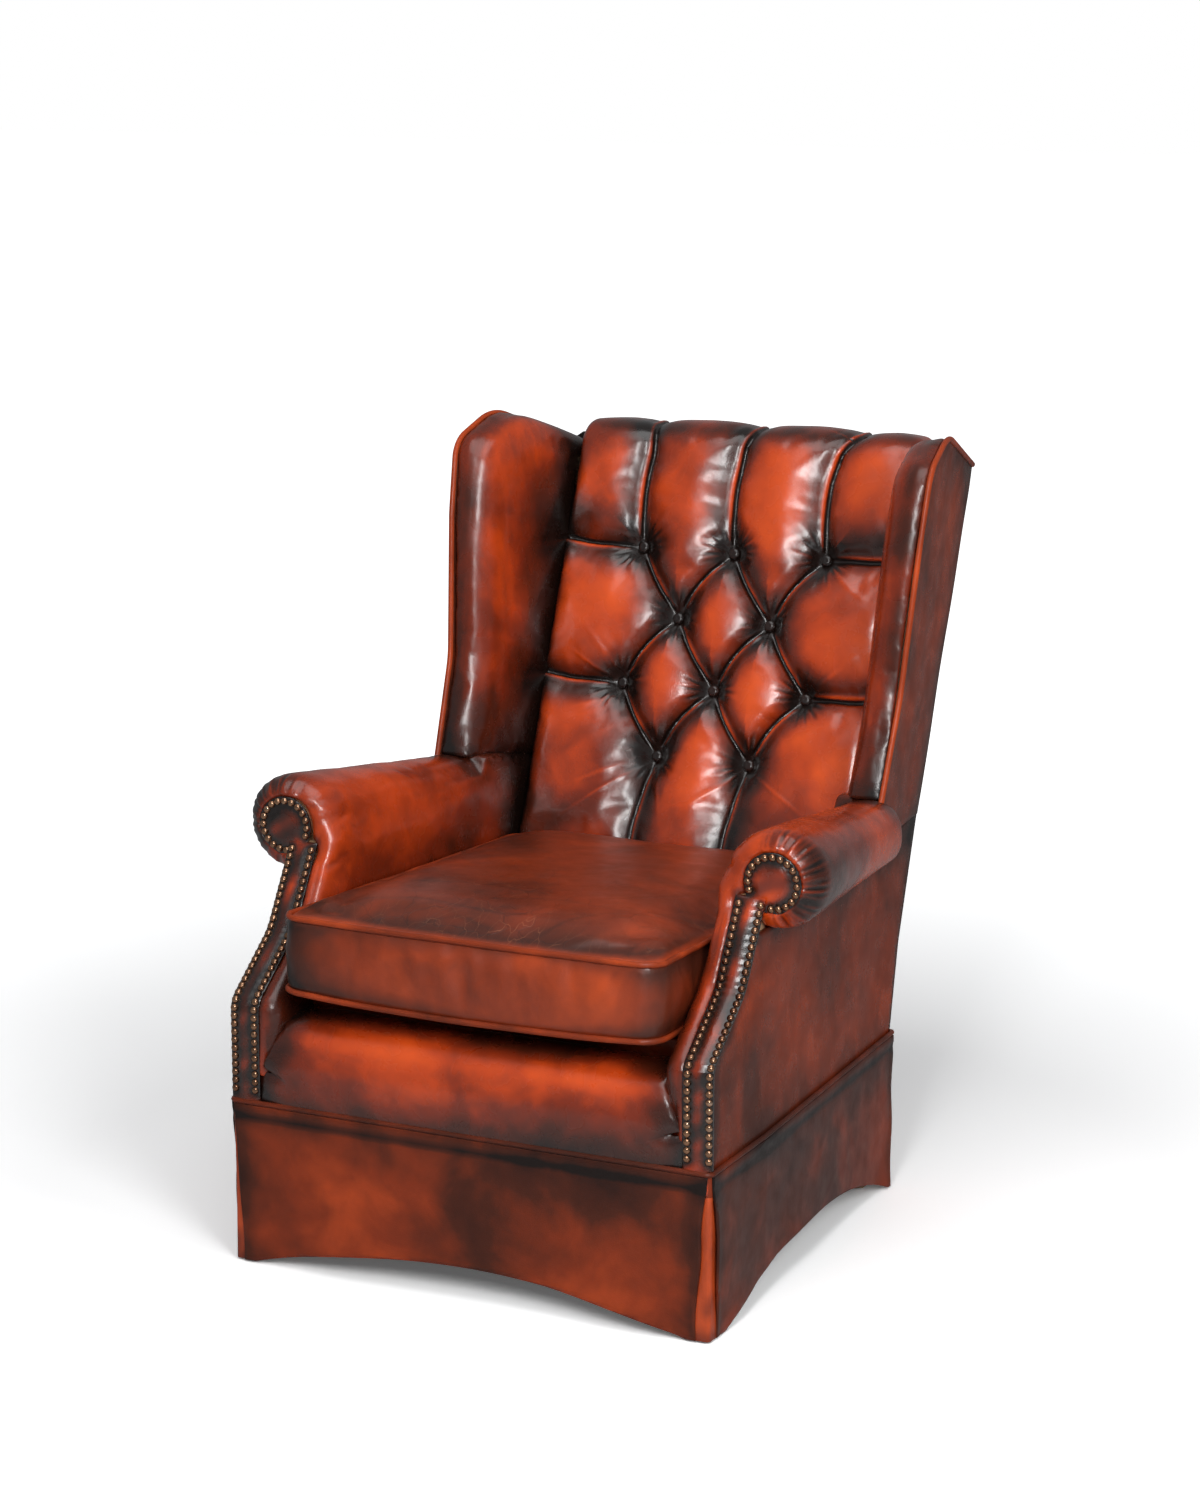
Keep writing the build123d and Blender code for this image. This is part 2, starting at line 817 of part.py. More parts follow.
wing_pad_block = ruled_block(
    wing_front_line,
    wing_pad_rear_line,
    [wing_front_inner_low, wing_front_inner_high],
    [wing_front_outer_low, wing_front_outer_high],
    [wing_rear_inner, wing_rear_inner],
    [back_top_half_width, back_top_half_width],
)
inside_wing_points = wing_top_points + [
    (wing_rear_depth, wing_rear_height),
    (back_line(wing_seam_rear_height), wing_seam_rear_height),
    (seat_line(wing_seam_rear_height) + web_gap, wing_seam_rear_height),
    (roll_rear_depth, wing_foot_height),
]
inside_wing_outline = side_slab(inside_wing_points, 0, overall_height, wing_radii + [0, 0, 0, 0])
inside_wing = wing_pad_block & inside_wing_outline


def ruled_half_width(depth, height, rear_line, front_low, front_high, rear_width):
    """Half width of a ruled face of the wing at a place in the side view."""
    (low_depth, low), (high_depth, high) = wing_front_line
    (rear_low_depth, rear_low), (rear_high_depth, rear_high) = rear_line
    rise = (height - low) / (high - low)
    front = low_depth + (high_depth - low_depth) * rise
    rear = rear_low_depth + (rear_high_depth - rear_low_depth) * rise
    front_width = front_low + (front_high - front_low) * rise
    return front_width + (rear_width - front_width) * (depth - front) / (rear - front)


def on_inner_face(edge):
    """True for a front or top edge of the wing pad's inner face."""
    middle = edge @ 0.5
    depth = middle.Y + overall_depth / 2
    inner = ruled_half_width(
        depth, middle.Z, wing_pad_rear_line, wing_front_inner_low, wing_front_inner_high, wing_rear_inner
    )
    before_rear = depth < back_line(middle.Z) - overrun / 2
    seam_share = (depth - roll_rear_depth) / (seat_line(wing_seam_rear_height) - roll_rear_depth)
    seam = wing_foot_height + (wing_seam_rear_height - wing_foot_height) * seam_share
    above_seam = middle.Z > seam + wing_piping_radius
    return abs(middle.X - inner) < soft_clearance and before_rear and above_seam


wing_edges = [edge for edge in inside_wing.edges() if on_inner_face(edge)]
inside_wing = fillet(wing_edges, wing_edge_radius)


def wing_outer_at(depth, height):
    """Half width of the outer face of the wing at a place in the side view."""
    return ruled_half_width(
        depth, height, wing_rear_line, wing_front_outer_low, wing_front_outer_high, back_top_half_width
    )


piping_points = [
    (wing_outer_at(depth, height), from_front(depth), height)
    for depth, height in wing_top_points + [(wing_rear_depth, wing_rear_height)]
]
piping_line = FilletPolyline(*piping_points, radius=wing_radii[1:])
piping_start = Plane(origin=piping_line @ 0, z_dir=piping_line % 0)
wing_piping = sweep(piping_start * Circle(wing_piping_radius), path=piping_line)
both_sides("wing_piping", wing_piping)
outside_wing = outside_wing - wing_piping
both_sides("outside_wing", outside_wing)
back_envelope = side_slab(pad_points, 0, pad_half_width + soft_clearance, pad_radii)
inside_wing = inside_wing - wing_board - wing_piping - outside_wing
for inner_piece in [arm_rail, back_post, back_envelope, top_rail] + back_webs:
    inside_wing = inside_wing - inner_piece
both_sides("inside_wing", inside_wing)
inside_arm = inside_arm - wing_board - outside_wing - wing_piping - inside_wing
both_sides("inside_arm", inside_arm)

# Outside back: one cover sheet from the skirt to the top rail, narrower above the arms
outside_back_points = [
    (base_depth, back_panel_foot),
    (base_depth, back_foot_height),
    (back_knee_depth, back_knee_height),
    (overall_depth, back_panel_top),
    (overall_depth - cover_sheet, back_panel_top),
    (back_knee_depth - cover_sheet, back_knee_height),
    (base_depth - cover_sheet, back_foot_height),
    (base_depth - cover_sheet, back_panel_foot),
]
outside_back = side_slab(outside_back_points, -side_front_half_width, side_front_half_width)
seam_half_width = side_at(back_line(wing_panel_foot))
back_front_view = [
    (side_rear_half_width, back_panel_foot),
    (side_at(back_knee_depth), back_knee_height),
    (seam_half_width, wing_panel_foot),
    (back_top_half_width, wing_panel_foot),
    (back_top_half_width, wing_rear_height),
    (back_top_half_width - board_thickness, back_panel_top),
]
back_front_view += [(-across, height) for across, height in reversed(back_front_view)]
back_outline = Plane.XZ * make_face(Polyline(*back_front_view, close=True))
outside_back = outside_back & extrude(back_outline, amount=overall_depth, both=True)
outside_back = outside_back - outside_wing - outside_arm
outside_back = outside_back - mirror(outside_wing, about=Plane.YZ) - mirror(outside_arm, about=Plane.YZ)
for side_piping in (wing_piping, mirror(wing_piping, about=Plane.YZ)):
    outside_back = outside_back - side_piping
outside_back = outside_back - skirt_zone
export_step(outside_back, "parts/outside_back.step")

# Seat webs: long webs on the front and rear rails, cross webs over them with folded ends
rail_top = rail_bottom + rail_height
web_top = rail_top + 2 * web_thickness
web_start = facing_front + leather + rail_set_back
web_end = post_foot_front + rail_thickness
seat_webs = []
web_span = 2 * (inner_arm_rear - web_width)
for index in range(seat_web_count):
    across = -web_span / 2 + web_span * index / (seat_web_count - 1)
    web = Pos(across, from_front((web_start + web_end) / 2), rail_top + web_thickness / 2) * Box(
        web_width, web_end - web_start, web_thickness
    )
    seat_webs.append(web)
cross_span = post_foot_front - block_leg - side_rail_front - block_leg
for index in range(cross_web_count):
    depth = side_rail_front + block_leg + cross_span * index / (cross_web_count - 1)
    reach = side_at(depth + web_width) - panel_thickness - web_end_gap
    web = Pos(0, from_front(depth), web_top - web_thickness / 2) * Box(
        2 * reach, web_width, web_thickness
    )
    for side in (-1, 1):
        fold_middle = side * (reach - web_fold / 2)
        fold = Pos(fold_middle, from_front(depth), rail_top + web_thickness / 2) * Box(
            web_fold, web_width, web_thickness
        )
        web = web + fold
    seat_webs.append(web)
export_step(Compound(children=seat_webs), "parts/seat_webbing.step")

# Platform under the cushion and the padded border in front of it
tilt_run = sin(radians(cushion_tilt)) / cos(radians(cushion_tilt))
cushion_low = cushion_bottom_crown / cos(radians(cushion_tilt))


def deck_height(depth):
    """Height of the platform, just under the cushion's flat underside."""
    front_height = cushion_front_height - cushion_low - soft_clearance
    return front_height - tilt_run * (depth - cushion_front_set_back)


deck_side = side_slab(
    [
        (deck_front_depth, web_top),
        (deck_rear_depth, web_top),
        (deck_rear_depth, deck_height(deck_rear_depth)),
        (deck_front_depth, deck_height(deck_front_depth)),
    ],
    -inner_arm_front,
    inner_arm_front,
)
deck_plan = plan_column(
    [
        (inner_arm_at(deck_front_depth) - soft_clearance, deck_front_depth),
        (inner_arm_at(deck_rear_depth) - soft_clearance, deck_rear_depth),
        (soft_clearance - inner_arm_at(deck_rear_depth), deck_rear_depth),
        (soft_clearance - inner_arm_at(deck_front_depth), deck_front_depth),
    ],
    0,
    overall_height,
)
seat_platform = deck_side & deck_plan
export_step(seat_platform, "parts/seat_platform.step")
border_points = [
    (facing_front, facing_foot),
    (facing_front, skirt_height + 2 * welt_radius),
    (border_bulge_depth, border_bulge_height),
    (border_face_depth, border_face_top),
    (border_roll_depth, border_roll_height),
    (border_top_depth, border_top_height),
    (deck_front_depth, border_top_height),
    (deck_front_depth, web_top),
    (web_start, web_top),
    (web_start, facing_foot),
]
border_radii = [0, 0] + [border_soft_radius] * 4 + [0] * 4
border_width = inner_arm_at(0) - soft_clearance
front_border = side_slab(border_points, -border_width, border_width, border_radii)
for side in (-1, 1):
    skirt_band = side_slab(
        [
            (facing_front + leather, facing_foot),
            (web_start, facing_foot),
            (web_start, inner_arm_bottom),
            (facing_front + leather, inner_arm_bottom),
        ],
        border_width,
        stump_inner,
    )
    if side < 0:
        skirt_band = mirror(skirt_band, about=Plane.YZ)
    front_border = front_border + skirt_band
front_border = front_border - inside_arm - mirror(inside_arm, about=Plane.YZ)
export_step(front_border, "parts/front_border.step")

# Inside back: padded, deep buttoned, rolled over the top rail
pad = side_slab(
    pad_points,
    -pad_half_width,
    pad_half_width,
    pad_radii,
)
pad_front_view = [
    (-pad_half_width, pad_bottom),
    (pad_half_width, pad_bottom),
    (pad_half_width, crest_height),
    (-pad_half_width, crest_height),
]
pad_outline = FilletPolyline(*pad_front_view, radius=[0, 0, pad_end_radius, pad_end_radius], close=True)
pad = pad & extrude(Plane.XZ * make_face(pad_outline), amount=overall_depth, both=True)

face_run = crest_depth - pad_bottom_front
face_rise = crest_height - pad_bend_height
face_plane = Plane(
    origin=(0, from_front(pad_bottom_front), pad_bend_height),
    x_dir=(1, 0, 0),
    z_dir=(0, -face_rise, face_run),
)
face_length = (face_run**2 + face_rise**2) ** 0.5
face_cosine = face_rise / face_length


def face_depth(height):
    """Depth of the pad's front face before it is buttoned."""
    return pad_bottom_front + face_run * (height - pad_bend_height) / face_rise


def face_place(across, height):
    """Place on the pad's front face, measured across and up its slope."""
    return across, (height - pad_bend_height) / face_cosine


def pillow_curve(reach, edge, depth):
    """Arc that leaves the face softly and falls to a depth beside a seam or a button."""
    run = reach - edge
    fall = depth + pillow_lift
    radius = (run**2 + fall**2) / (2 * fall)
    middle_drop = radius - (radius**2 - (run / 2) ** 2) ** 0.5
    return ThreePointArc(
        (reach, pillow_lift), (edge + run / 2, pillow_lift - middle_drop), (edge, -depth)
    )


def pleat_section():
    """Section of a pleat: two soft flanks that meet in a crease."""
    right = pillow_curve(pleat_half_width, 0, pleat_depth)
    left = mirror(right, about=Plane.YZ)
    rim = Polyline(
        (pleat_half_width, pillow_lift),
        (pleat_half_width, pleat_depth),
        (-pleat_half_width, pleat_depth),
        (-pleat_half_width, pillow_lift),
    )
    return make_face([right, rim, left])


def pleat_cut(plane, start, end):
    """Cutter for a pleat between two places on a face."""
    begin = plane.from_local_coords((start[0], start[1], 0))
    finish = plane.from_local_coords((end[0], end[1], 0))
    run = finish - begin
    across = run.cross(plane.z_dir)
    section_plane = Plane(origin=begin, x_dir=across, z_dir=run)
    if section_plane.y_dir.dot(plane.z_dir) < 0:
        section_plane = Plane(origin=begin, x_dir=-across, z_dir=run)
    return extrude(section_plane * pleat_section(), amount=run.length, dir=run)


def row_places(row):
    """Half widths of the buttons in a row: three, then two between them."""
    if row % 2 == 0:
        return (-button_pitch, 0, button_pitch)
    return (-button_pitch / 2, button_pitch / 2)


def button_drop(height):
    """How far a button is pulled in below the pad's face."""
    return (seat_line(height) - face_depth(height)) * face_cosine


tuft_cuts = []
buttons = []
last_row = len(button_rows) - 1
for row, height in enumerate(button_rows):
    drop = button_drop(height)
    dimple_profile = make_face(
        [
            pillow_curve(dimple_radius, dimple_neck, drop),
            Polyline(
                (dimple_neck, -drop),
                (0, -drop),
                (0, pleat_depth),
                (dimple_radius, pleat_depth),
                (dimple_radius, pillow_lift),
            ),
        ]
    )
    dimple = revolve(Plane.XZ * dimple_profile, axis=Axis.Z)
    button_plan = RegularPolygon(button_radius, button_sides)
    button = extrude(button_plan, amount=button_rim) + Pos(0, 0, button_rim) * extrude(
        button_plan, amount=button_height - button_rim, taper=button_dome_taper
    )
    for across in row_places(row):
        place_x, place_y = face_place(across, height)
        tuft_cuts.append(face_plane * Pos(place_x, place_y, 0) * dimple)
        buttons.append(face_plane * Pos(place_x, place_y, -drop) * button)
        if row == 0:
            tuft_cuts.append(pleat_cut(face_plane, (place_x, place_y), (place_x, face_length)))
        if row == last_row:
            tuft_cuts.append(pleat_cut(face_plane, (place_x, place_y), (place_x, -overrun)))
        if abs(across) == button_pitch:
            side_end = (pad_half_width + overrun) * (1 if across > 0 else -1)
            seam_place = (side_end, place_y + side_pleat_rise)
            tuft_cuts.append(pleat_cut(face_plane, (place_x, place_y), seam_place))
        if row < last_row:
            for below in row_places(row + 1):
                if abs(below - across) < button_pitch:
                    target = face_place(below, button_rows[row + 1])
                    tuft_cuts.append(pleat_cut(face_plane, (place_x, place_y), target))
top_plane = Plane(
    origin=(0, from_front(crest_depth), crest_height),
    x_dir=(1, 0, 0),
    z_dir=(0, crest_height - pad_top_rear_height, overall_depth - crest_depth),
)
for across in row_places(0):
    tuft_cuts.append(pleat_cut(top_plane, (across, 0), (across, overall_depth - crest_depth)))
for cut in tuft_cuts:
    pad = pad - cut
export_step(pad, "parts/inside_back.step")
export_step(Compound(children=buttons), "parts/back_buttons.step")


# Loose cushion: boxed, crowned on both faces, sides drawn in, piped along both seams
def cushion_outline(inset):
    """Plan of the cushion at a seam or inside it, a little waisted along each side."""
    half_front = cushion_front_half - inset
    half_rear = cushion_rear_half - inset
    front = inset
    rear = cushion_depth - inset
    middle_half = (half_front + half_rear) / 2 - cushion_drawn_in
    middle = (front + rear) / 2
    points = (
        (-half_front, front),
        (0, front + cushion_drawn_in / 2),
        (half_front, front),
        (middle_half, middle),
        (half_rear, rear),
        (0, rear - cushion_drawn_in),
        (-half_rear, rear),
        (-middle_half, middle),
    )
    radii = [cushion_corner_radius, cushion_side_radius] * 4
    return FilletPolyline(*points, radius=radii, close=True)


def cushion_layer(insets, heights):
    """Layer of the cushion through its outlines at several heights."""
    sections = []
    for inset, height in zip(insets, heights):
        sections.append(Pos(0, 0, height) * make_face(cushion_outline(inset)))
    return loft(sections, ruled=True)


crown_inset_shares = (0.0, 0.14, 0.34, 0.58)
crown_rise_shares = (0.0, 0.52, 0.86, 1.0)
crown_insets = [share * cushion_front_half for share in crown_inset_shares]
top_layer = cushion_layer(
    crown_insets,
    [cushion_boxing + share * cushion_top_crown for share in crown_rise_shares],
)
bottom_layer = cushion_layer(
    crown_insets,
    [-share * cushion_bottom_crown for share in crown_rise_shares],
)
box_layer = cushion_layer(
    [0, -cushion_boxing_swell, 0],
    [0, cushion_boxing / 2, cushion_boxing],
)
cushion = top_layer + box_layer + bottom_layer
cushion_place = Pos(0, from_front(cushion_front_set_back), cushion_front_height)
cushion_place = cushion_place * Rot(-cushion_tilt, 0, 0)
seam_path = cushion_outline(0)
seam_start = Plane(origin=seam_path @ 0, z_dir=seam_path % 0)
seam_piping = sweep(seam_start * RegularPolygon(piping_radius, piping_sides), path=seam_path)
top_piping = Pos(0, 0, cushion_boxing) * seam_piping
cushion = cushion - seam_piping - top_piping
export_step(cushion_place * cushion, "parts/seat_cushion.step")
export_step(cushion_place * seam_piping, "parts/cushion_piping_bottom.step")
export_step(cushion_place * top_piping, "parts/cushion_piping_top.step")

# Skirt: strip, four hanging panels with arched hems, corner pleats and welt
tack_strip = base_ring(0, strip_thickness, skirt_height - strip_height, skirt_height)
export_step(tack_strip, "parts/skirt_tacking_strip.step")
skirt_outer = strip_thickness + skirt_thickness
skirt_ring = base_ring(strip_thickness, skirt_outer, hem_clearance, skirt_height)
front_arch_start = (-hem_front_reach, hem_clearance)
front_arch_end = (hem_front_reach, hem_clearance)
front_arch = make_face(
    [
        ThreePointArc(front_arch_start, (0, hem_front_rise), front_arch_end),
        Line(front_arch_end, front_arch_start),
    ]
)
front_arch_cut = extrude(Plane.XZ * front_arch, amount=overall_depth, both=True)
side_arch_start = (from_front(hem_side_start), hem_clearance)
side_arch_end = (from_front(hem_side_end), hem_clearance)
side_arch = make_face(
    [
        ThreePointArc(side_arch_start, (from_front(hem_side_crest), hem_side_rise), side_arch_end),
        Line(side_arch_end, side_arch_start),
    ]
)
side_arch_cut = extrude(Plane.YZ * side_arch, amount=overall_depth, both=True)
skirt_ring = skirt_ring - front_arch_cut - side_arch_cut


def skirt_panel_region(half_width, near, far):
    """Region that keeps one panel of the skirt and opens its ends towards the hem."""
    sections = []
    for opening, height in ((corner_opening_foot, 0), (corner_opening_top, skirt_height)):
        corners = (
            (-half_width(opening), from_front(near(opening))),
            (half_width(opening), from_front(near(opening))),
            (half_width(opening), from_front(far(opening))),
            (-half_width(opening), from_front(far(opening))),
        )
        sections.append(Pos(0, 0, height) * make_face(Polyline(*corners, close=True)))
    return loft(sections, ruled=True)


front_region = skirt_panel_region(
    lambda opening: side_front_half_width + strip_thickness - opening,
    lambda opening: -overrun,
    lambda opening: facing_front - soft_clearance,
)
rear_region = skirt_panel_region(
    lambda opening: side_rear_half_width + strip_thickness - opening,
    lambda opening: base_depth + soft_clearance,
    lambda opening: base_depth + overrun,
)
side_region = skirt_panel_region(
    lambda opening: side_front_half_width + overrun,
    lambda opening: facing_front - strip_thickness + opening,
    lambda opening: base_depth + strip_thickness - opening,
)
right_half = Pos(overall_depth / 2, 0, 0) * Box(overall_depth, 2 * overall_depth, 2 * overall_height)
export_step(skirt_ring & front_region, "parts/skirt_front.step")
export_step(skirt_ring & rear_region, "parts/skirt_rear.step")
side_skirt = skirt_ring & side_region & right_half
both_sides("skirt", side_skirt)
pleat_ring = base_ring(0, strip_thickness - pleat_clearance, hem_clearance, skirt_height - strip_height)
pleat_ring = pleat_ring - front_arch_cut - side_arch_cut


def corner_pleat(half_width, depth):
    """Folded underlay that closes the skirt behind an open corner."""
    region = Pos(half_width, from_front(depth), skirt_height / 2) * Box(
        2 * pleat_width, 2 * pleat_width, 2 * skirt_height
    )
    return pleat_ring & region


both_sides("front_corner_pleat", corner_pleat(side_front_half_width, facing_front))
both_sides("rear_corner_pleat", corner_pleat(side_rear_half_width, base_depth))
welt_path = Pos(0, 0, skirt_height + welt_radius) * base_outline(welt_radius)
welt_start = Plane(origin=welt_path @ 0, z_dir=welt_path % 0)
skirt_welt = sweep(welt_start * RegularPolygon(welt_radius, piping_sides), path=welt_path)
export_step(skirt_welt, "parts/skirt_welt.step")

# Dust cover under the rails
dust_outline = make_face(base_outline(-rail_set_back - leather))
dust_cover = extrude(dust_outline, amount=dust_sheet, dir=(0, 0, 1))
dust_cover = Pos(0, 0, rail_bottom - dust_sheet) * dust_cover
for foot_solid in (front_foot, rear_foot):
    dust_cover = dust_cover - foot_solid - mirror(foot_solid, about=Plane.YZ)
export_step(dust_cover, "parts/dust_cover.step")
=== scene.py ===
# %% [markdown]
# # A wing armchair in hand-antiqued leather
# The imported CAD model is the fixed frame: rails, posts, feet, webs and the places of every seam.
# This lesson dresses it. Leather is modelled as leather: padded pieces swell under a short cloth
# simulation, thin panels sag a little between their tacks, and each finish is built from nodes.

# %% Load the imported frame
import math

import bmesh
import bpy
import numpy as np
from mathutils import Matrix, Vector


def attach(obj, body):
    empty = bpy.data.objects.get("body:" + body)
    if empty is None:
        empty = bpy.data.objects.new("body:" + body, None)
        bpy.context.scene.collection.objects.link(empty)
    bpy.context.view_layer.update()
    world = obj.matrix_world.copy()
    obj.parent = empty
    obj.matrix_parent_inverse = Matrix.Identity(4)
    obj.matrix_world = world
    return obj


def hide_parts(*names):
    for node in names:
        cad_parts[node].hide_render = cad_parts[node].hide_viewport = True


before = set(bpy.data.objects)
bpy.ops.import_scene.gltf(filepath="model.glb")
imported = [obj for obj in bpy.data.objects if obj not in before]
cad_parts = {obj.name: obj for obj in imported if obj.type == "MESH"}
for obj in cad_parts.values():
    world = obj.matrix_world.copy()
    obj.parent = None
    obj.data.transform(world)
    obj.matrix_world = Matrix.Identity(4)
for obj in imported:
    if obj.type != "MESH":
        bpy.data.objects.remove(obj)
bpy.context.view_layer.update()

mm = 0.001
front_plane = -0.475

# %% [markdown]
# ## Camera
# The photograph was taken from the sitter's left front with a long lens, a little above the arms.
# Fitting straight edges of the chair gave the eye point, the point it looks at and the lens.

# %% Set the camera
def in_scene(name, data):
    """New object that shows the data, linked to the scene."""
    made = bpy.data.objects.new(name, data)
    bpy.context.scene.collection.objects.link(made)
    return made


eye = Vector((1.9727, -4.1258, 1.6259))
looked_at = Vector((0.00403, -0.08871, 0.64064))
camera_data = bpy.data.cameras.new("camera")
camera_data.lens = 83.27
camera_data.sensor_width = 36
camera = in_scene("camera", camera_data)
camera.location = eye
camera.rotation_euler = (looked_at - eye).to_track_quat("-Z", "Y").to_euler()
bpy.context.scene.camera = camera
bpy.context.scene.view_settings.view_transform = "Standard"
print("camera", [round(part, 3) for part in eye])

# %% [markdown]
# ## Node helpers
# Every finish below is a small tree of nodes. One helper adds a node, links what is a socket and
# sets what is a number, so that each recipe reads from top to bottom.


# %% Helpers for node trees
def new_finish(name):
    finish = bpy.data.materials.new(name)
    finish.use_nodes = True
    tree = finish.node_tree
    return finish, tree, tree.nodes["Principled BSDF"]


def add(tree, kind, inputs=None, **settings):
    made = tree.nodes.new(kind)
    for key, value in settings.items():
        setattr(made, key, value)
    wire(tree, made, inputs or {})
    return made


def wire(tree, made, inputs):
    for key, value in inputs.items():
        if isinstance(value, bpy.types.NodeSocket):
            tree.links.new(value, made.inputs[key])
        else:
            made.inputs[key].default_value = value


def noise(tree, where, scale, detail=4.0, distortion=0.0):
    made = add(
        tree, "ShaderNodeTexNoise",
        {"Vector": where, "Scale": scale, "Detail": detail, "Distortion": distortion},
    )
    return made.outputs["Fac"]


def maths(tree, operation, first, second, clamp=False):
    made = add(tree, "ShaderNodeMath", {0: first, 1: second}, operation=operation, use_clamp=clamp)
    return made.outputs[0]


def ramp(tree, factor, stops):
    made = add(tree, "ShaderNodeValToRGB", {"Fac": factor})
    elements = made.color_ramp.elements
    elements[0].position, elements[0].color = stops[0][0], (*stops[0][1], 1)
    elements[1].position, elements[1].color = stops[-1][0], (*stops[-1][1], 1)
    for place, colour in stops[1:-1]:
        middle = elements.new(place)
        middle.color = (*colour, 1)
    return made.outputs["Color"]


def stretched(tree, where, scale):
    made = add(tree, "ShaderNodeMapping", {"Vector": where, "Scale": scale})
    return made.outputs["Vector"]


def mapped(tree, value, low, high, start, end):
    """Stretches low to high over start to end, and holds at both."""
    made = add(tree, "ShaderNodeMapRange", {
        "Value": value, "From Min": low, "From Max": high, "To Min": start, "To Max": end,
    })
    return made.outputs["Result"]


def bump(tree, height, distance, strength=1.0, below=None):
    inputs = {"Height": height, "Distance": distance, "Strength": strength}
    made = add(tree, "ShaderNodeBump", inputs)
    if below is not None:
        tree.links.new(below, made.inputs["Normal"])
    return made.outputs["Normal"]


print("node helpers ready")

# %% [markdown]
# ## Hand-antiqued leather
# The hide is dyed orange, then dark wax is rubbed in and wiped off: it stays in seams, round
# buttons and in pleats, and thins out on the crowns. A point attribute named "shade" says how
# much wax a place holds; on some pieces it also carries painted shade and painted highlights,
# marked where they are made. Noise at three scales breaks it up. The same attribute name on
# every piece lets one recipe serve the whole cover. Grain, fine creases and soft dents are bumps.
# Photographs of hide would bring their own light and seams; noise nodes fit any shape and scale.


# %% Make the leather recipe
scratched_hide = (0.46, 0.17, 0.09, 1)


def warped(tree, where):
    """Places pushed about by noise, so that cells lose their straight edges."""
    wobble = add(tree, "ShaderNodeTexNoise", {"Vector": where, "Scale": 11.0, "Detail": 3.0})
    spread = add(
        tree, "ShaderNodeVectorMath", {0: wobble.outputs["Color"], 1: (0.09, 0.09, 0.09)},
        operation="MULTIPLY",
    )
    moved = add(tree, "ShaderNodeVectorMath", {0: where, 1: spread.outputs[0]}, operation="ADD")
    return moved.outputs[0]


def cell_edges(tree, where, scale, width):
    """Thin lines between cells of noise: 1 on a line and 0 beyond its width."""
    cells = add(
        tree, "ShaderNodeTexVoronoi", {"Vector": warped(tree, where), "Scale": scale},
        feature="DISTANCE_TO_EDGE",
    )
    return mapped(tree, cells.outputs["Distance"], 0.0, width, 1.0, 0.0)


def leather(
    name, tones, wax=0.0, mottle=0.7, patches=0.5, streaks=0.0, gloss=0.25, shine=0.5, coat=0.35
):
    finish, tree, surface = new_finish(name)
    where = add(tree, "ShaderNodeTexCoord").outputs["Object"]
    shade = add(tree, "ShaderNodeAttribute", attribute_name="shade").outputs["Fac"]
    fine = noise(tree, where, 34.0, 6.0, 0.3)
    cloud = noise(tree, where, 8.5, 5.0, 0.6)
    patch = noise(tree, where, 3.6, 3.0, 0.4)
    along = stretched(tree, where, (60.0, 60.0, 5.0))
    streak = noise(tree, along, 1.0, 3.0, 0.2)

    held = maths(tree, "ADD", shade, wax)
    for grade, amount in ((fine, 0.22), (cloud, mottle), (patch, patches), (streak, streaks)):
        centred = maths(tree, "SUBTRACT", grade, 0.5)
        held = maths(tree, "ADD", held, maths(tree, "MULTIPLY", centred, amount))
    held = maths(tree, "ADD", held, 0.0, clamp=True)
    colour = ramp(tree, held, tones)

    crack = cell_edges(tree, where, 17.0, 0.018)
    cracked = add(tree, "ShaderNodeAttribute", attribute_name="cracked").outputs["Fac"]
    crack = maths(tree, "MULTIPLY", crack, maths(tree, "MULTIPLY", cloud, cracked), clamp=True)
    dark = tones[-1][1]
    mixed = add(tree, "ShaderNodeMixRGB", {"Fac": crack, "Color1": colour, "Color2": (*dark, 1)})
    scratch = cell_edges(tree, stretched(tree, where, (1.7, 0.8, 1.0)), 23.0, 0.009)
    scratch = maths(tree, "MULTIPLY", scratch, maths(tree, "MULTIPLY", cracked, patch), clamp=True)
    scratch = maths(tree, "MULTIPLY", scratch, 0.85)
    mixed = add(tree, "ShaderNodeMixRGB", {
        "Fac": scratch, "Color1": mixed.outputs["Color"], "Color2": scratched_hide,
    })

    rough = mapped(tree, fine, 0.3, 0.7, gloss - 0.05, gloss + 0.09)
    grain = add(
        tree, "ShaderNodeTexVoronoi", {"Vector": where, "Scale": 620.0}, feature="F1",
    ).outputs["Distance"]
    relief = bump(tree, noise(tree, where, 26.0, 3.0), 0.0008, 0.35)
    relief = bump(tree, noise(tree, where, 150.0, 4.0, 0.5), 0.0004, 0.35, relief)
    relief = bump(tree, grain, 0.00022, 0.5, relief)
    relief = bump(tree, crack, -0.0006, 0.8, relief)
    wire(tree, surface, {
        "Base Color": mixed.outputs["Color"], "Roughness": rough, "Normal": relief,
        "Specular IOR Level": shine, "Coat Weight": coat, "Coat Roughness": 0.17,
    })
    return finish


print("leather recipe ready")
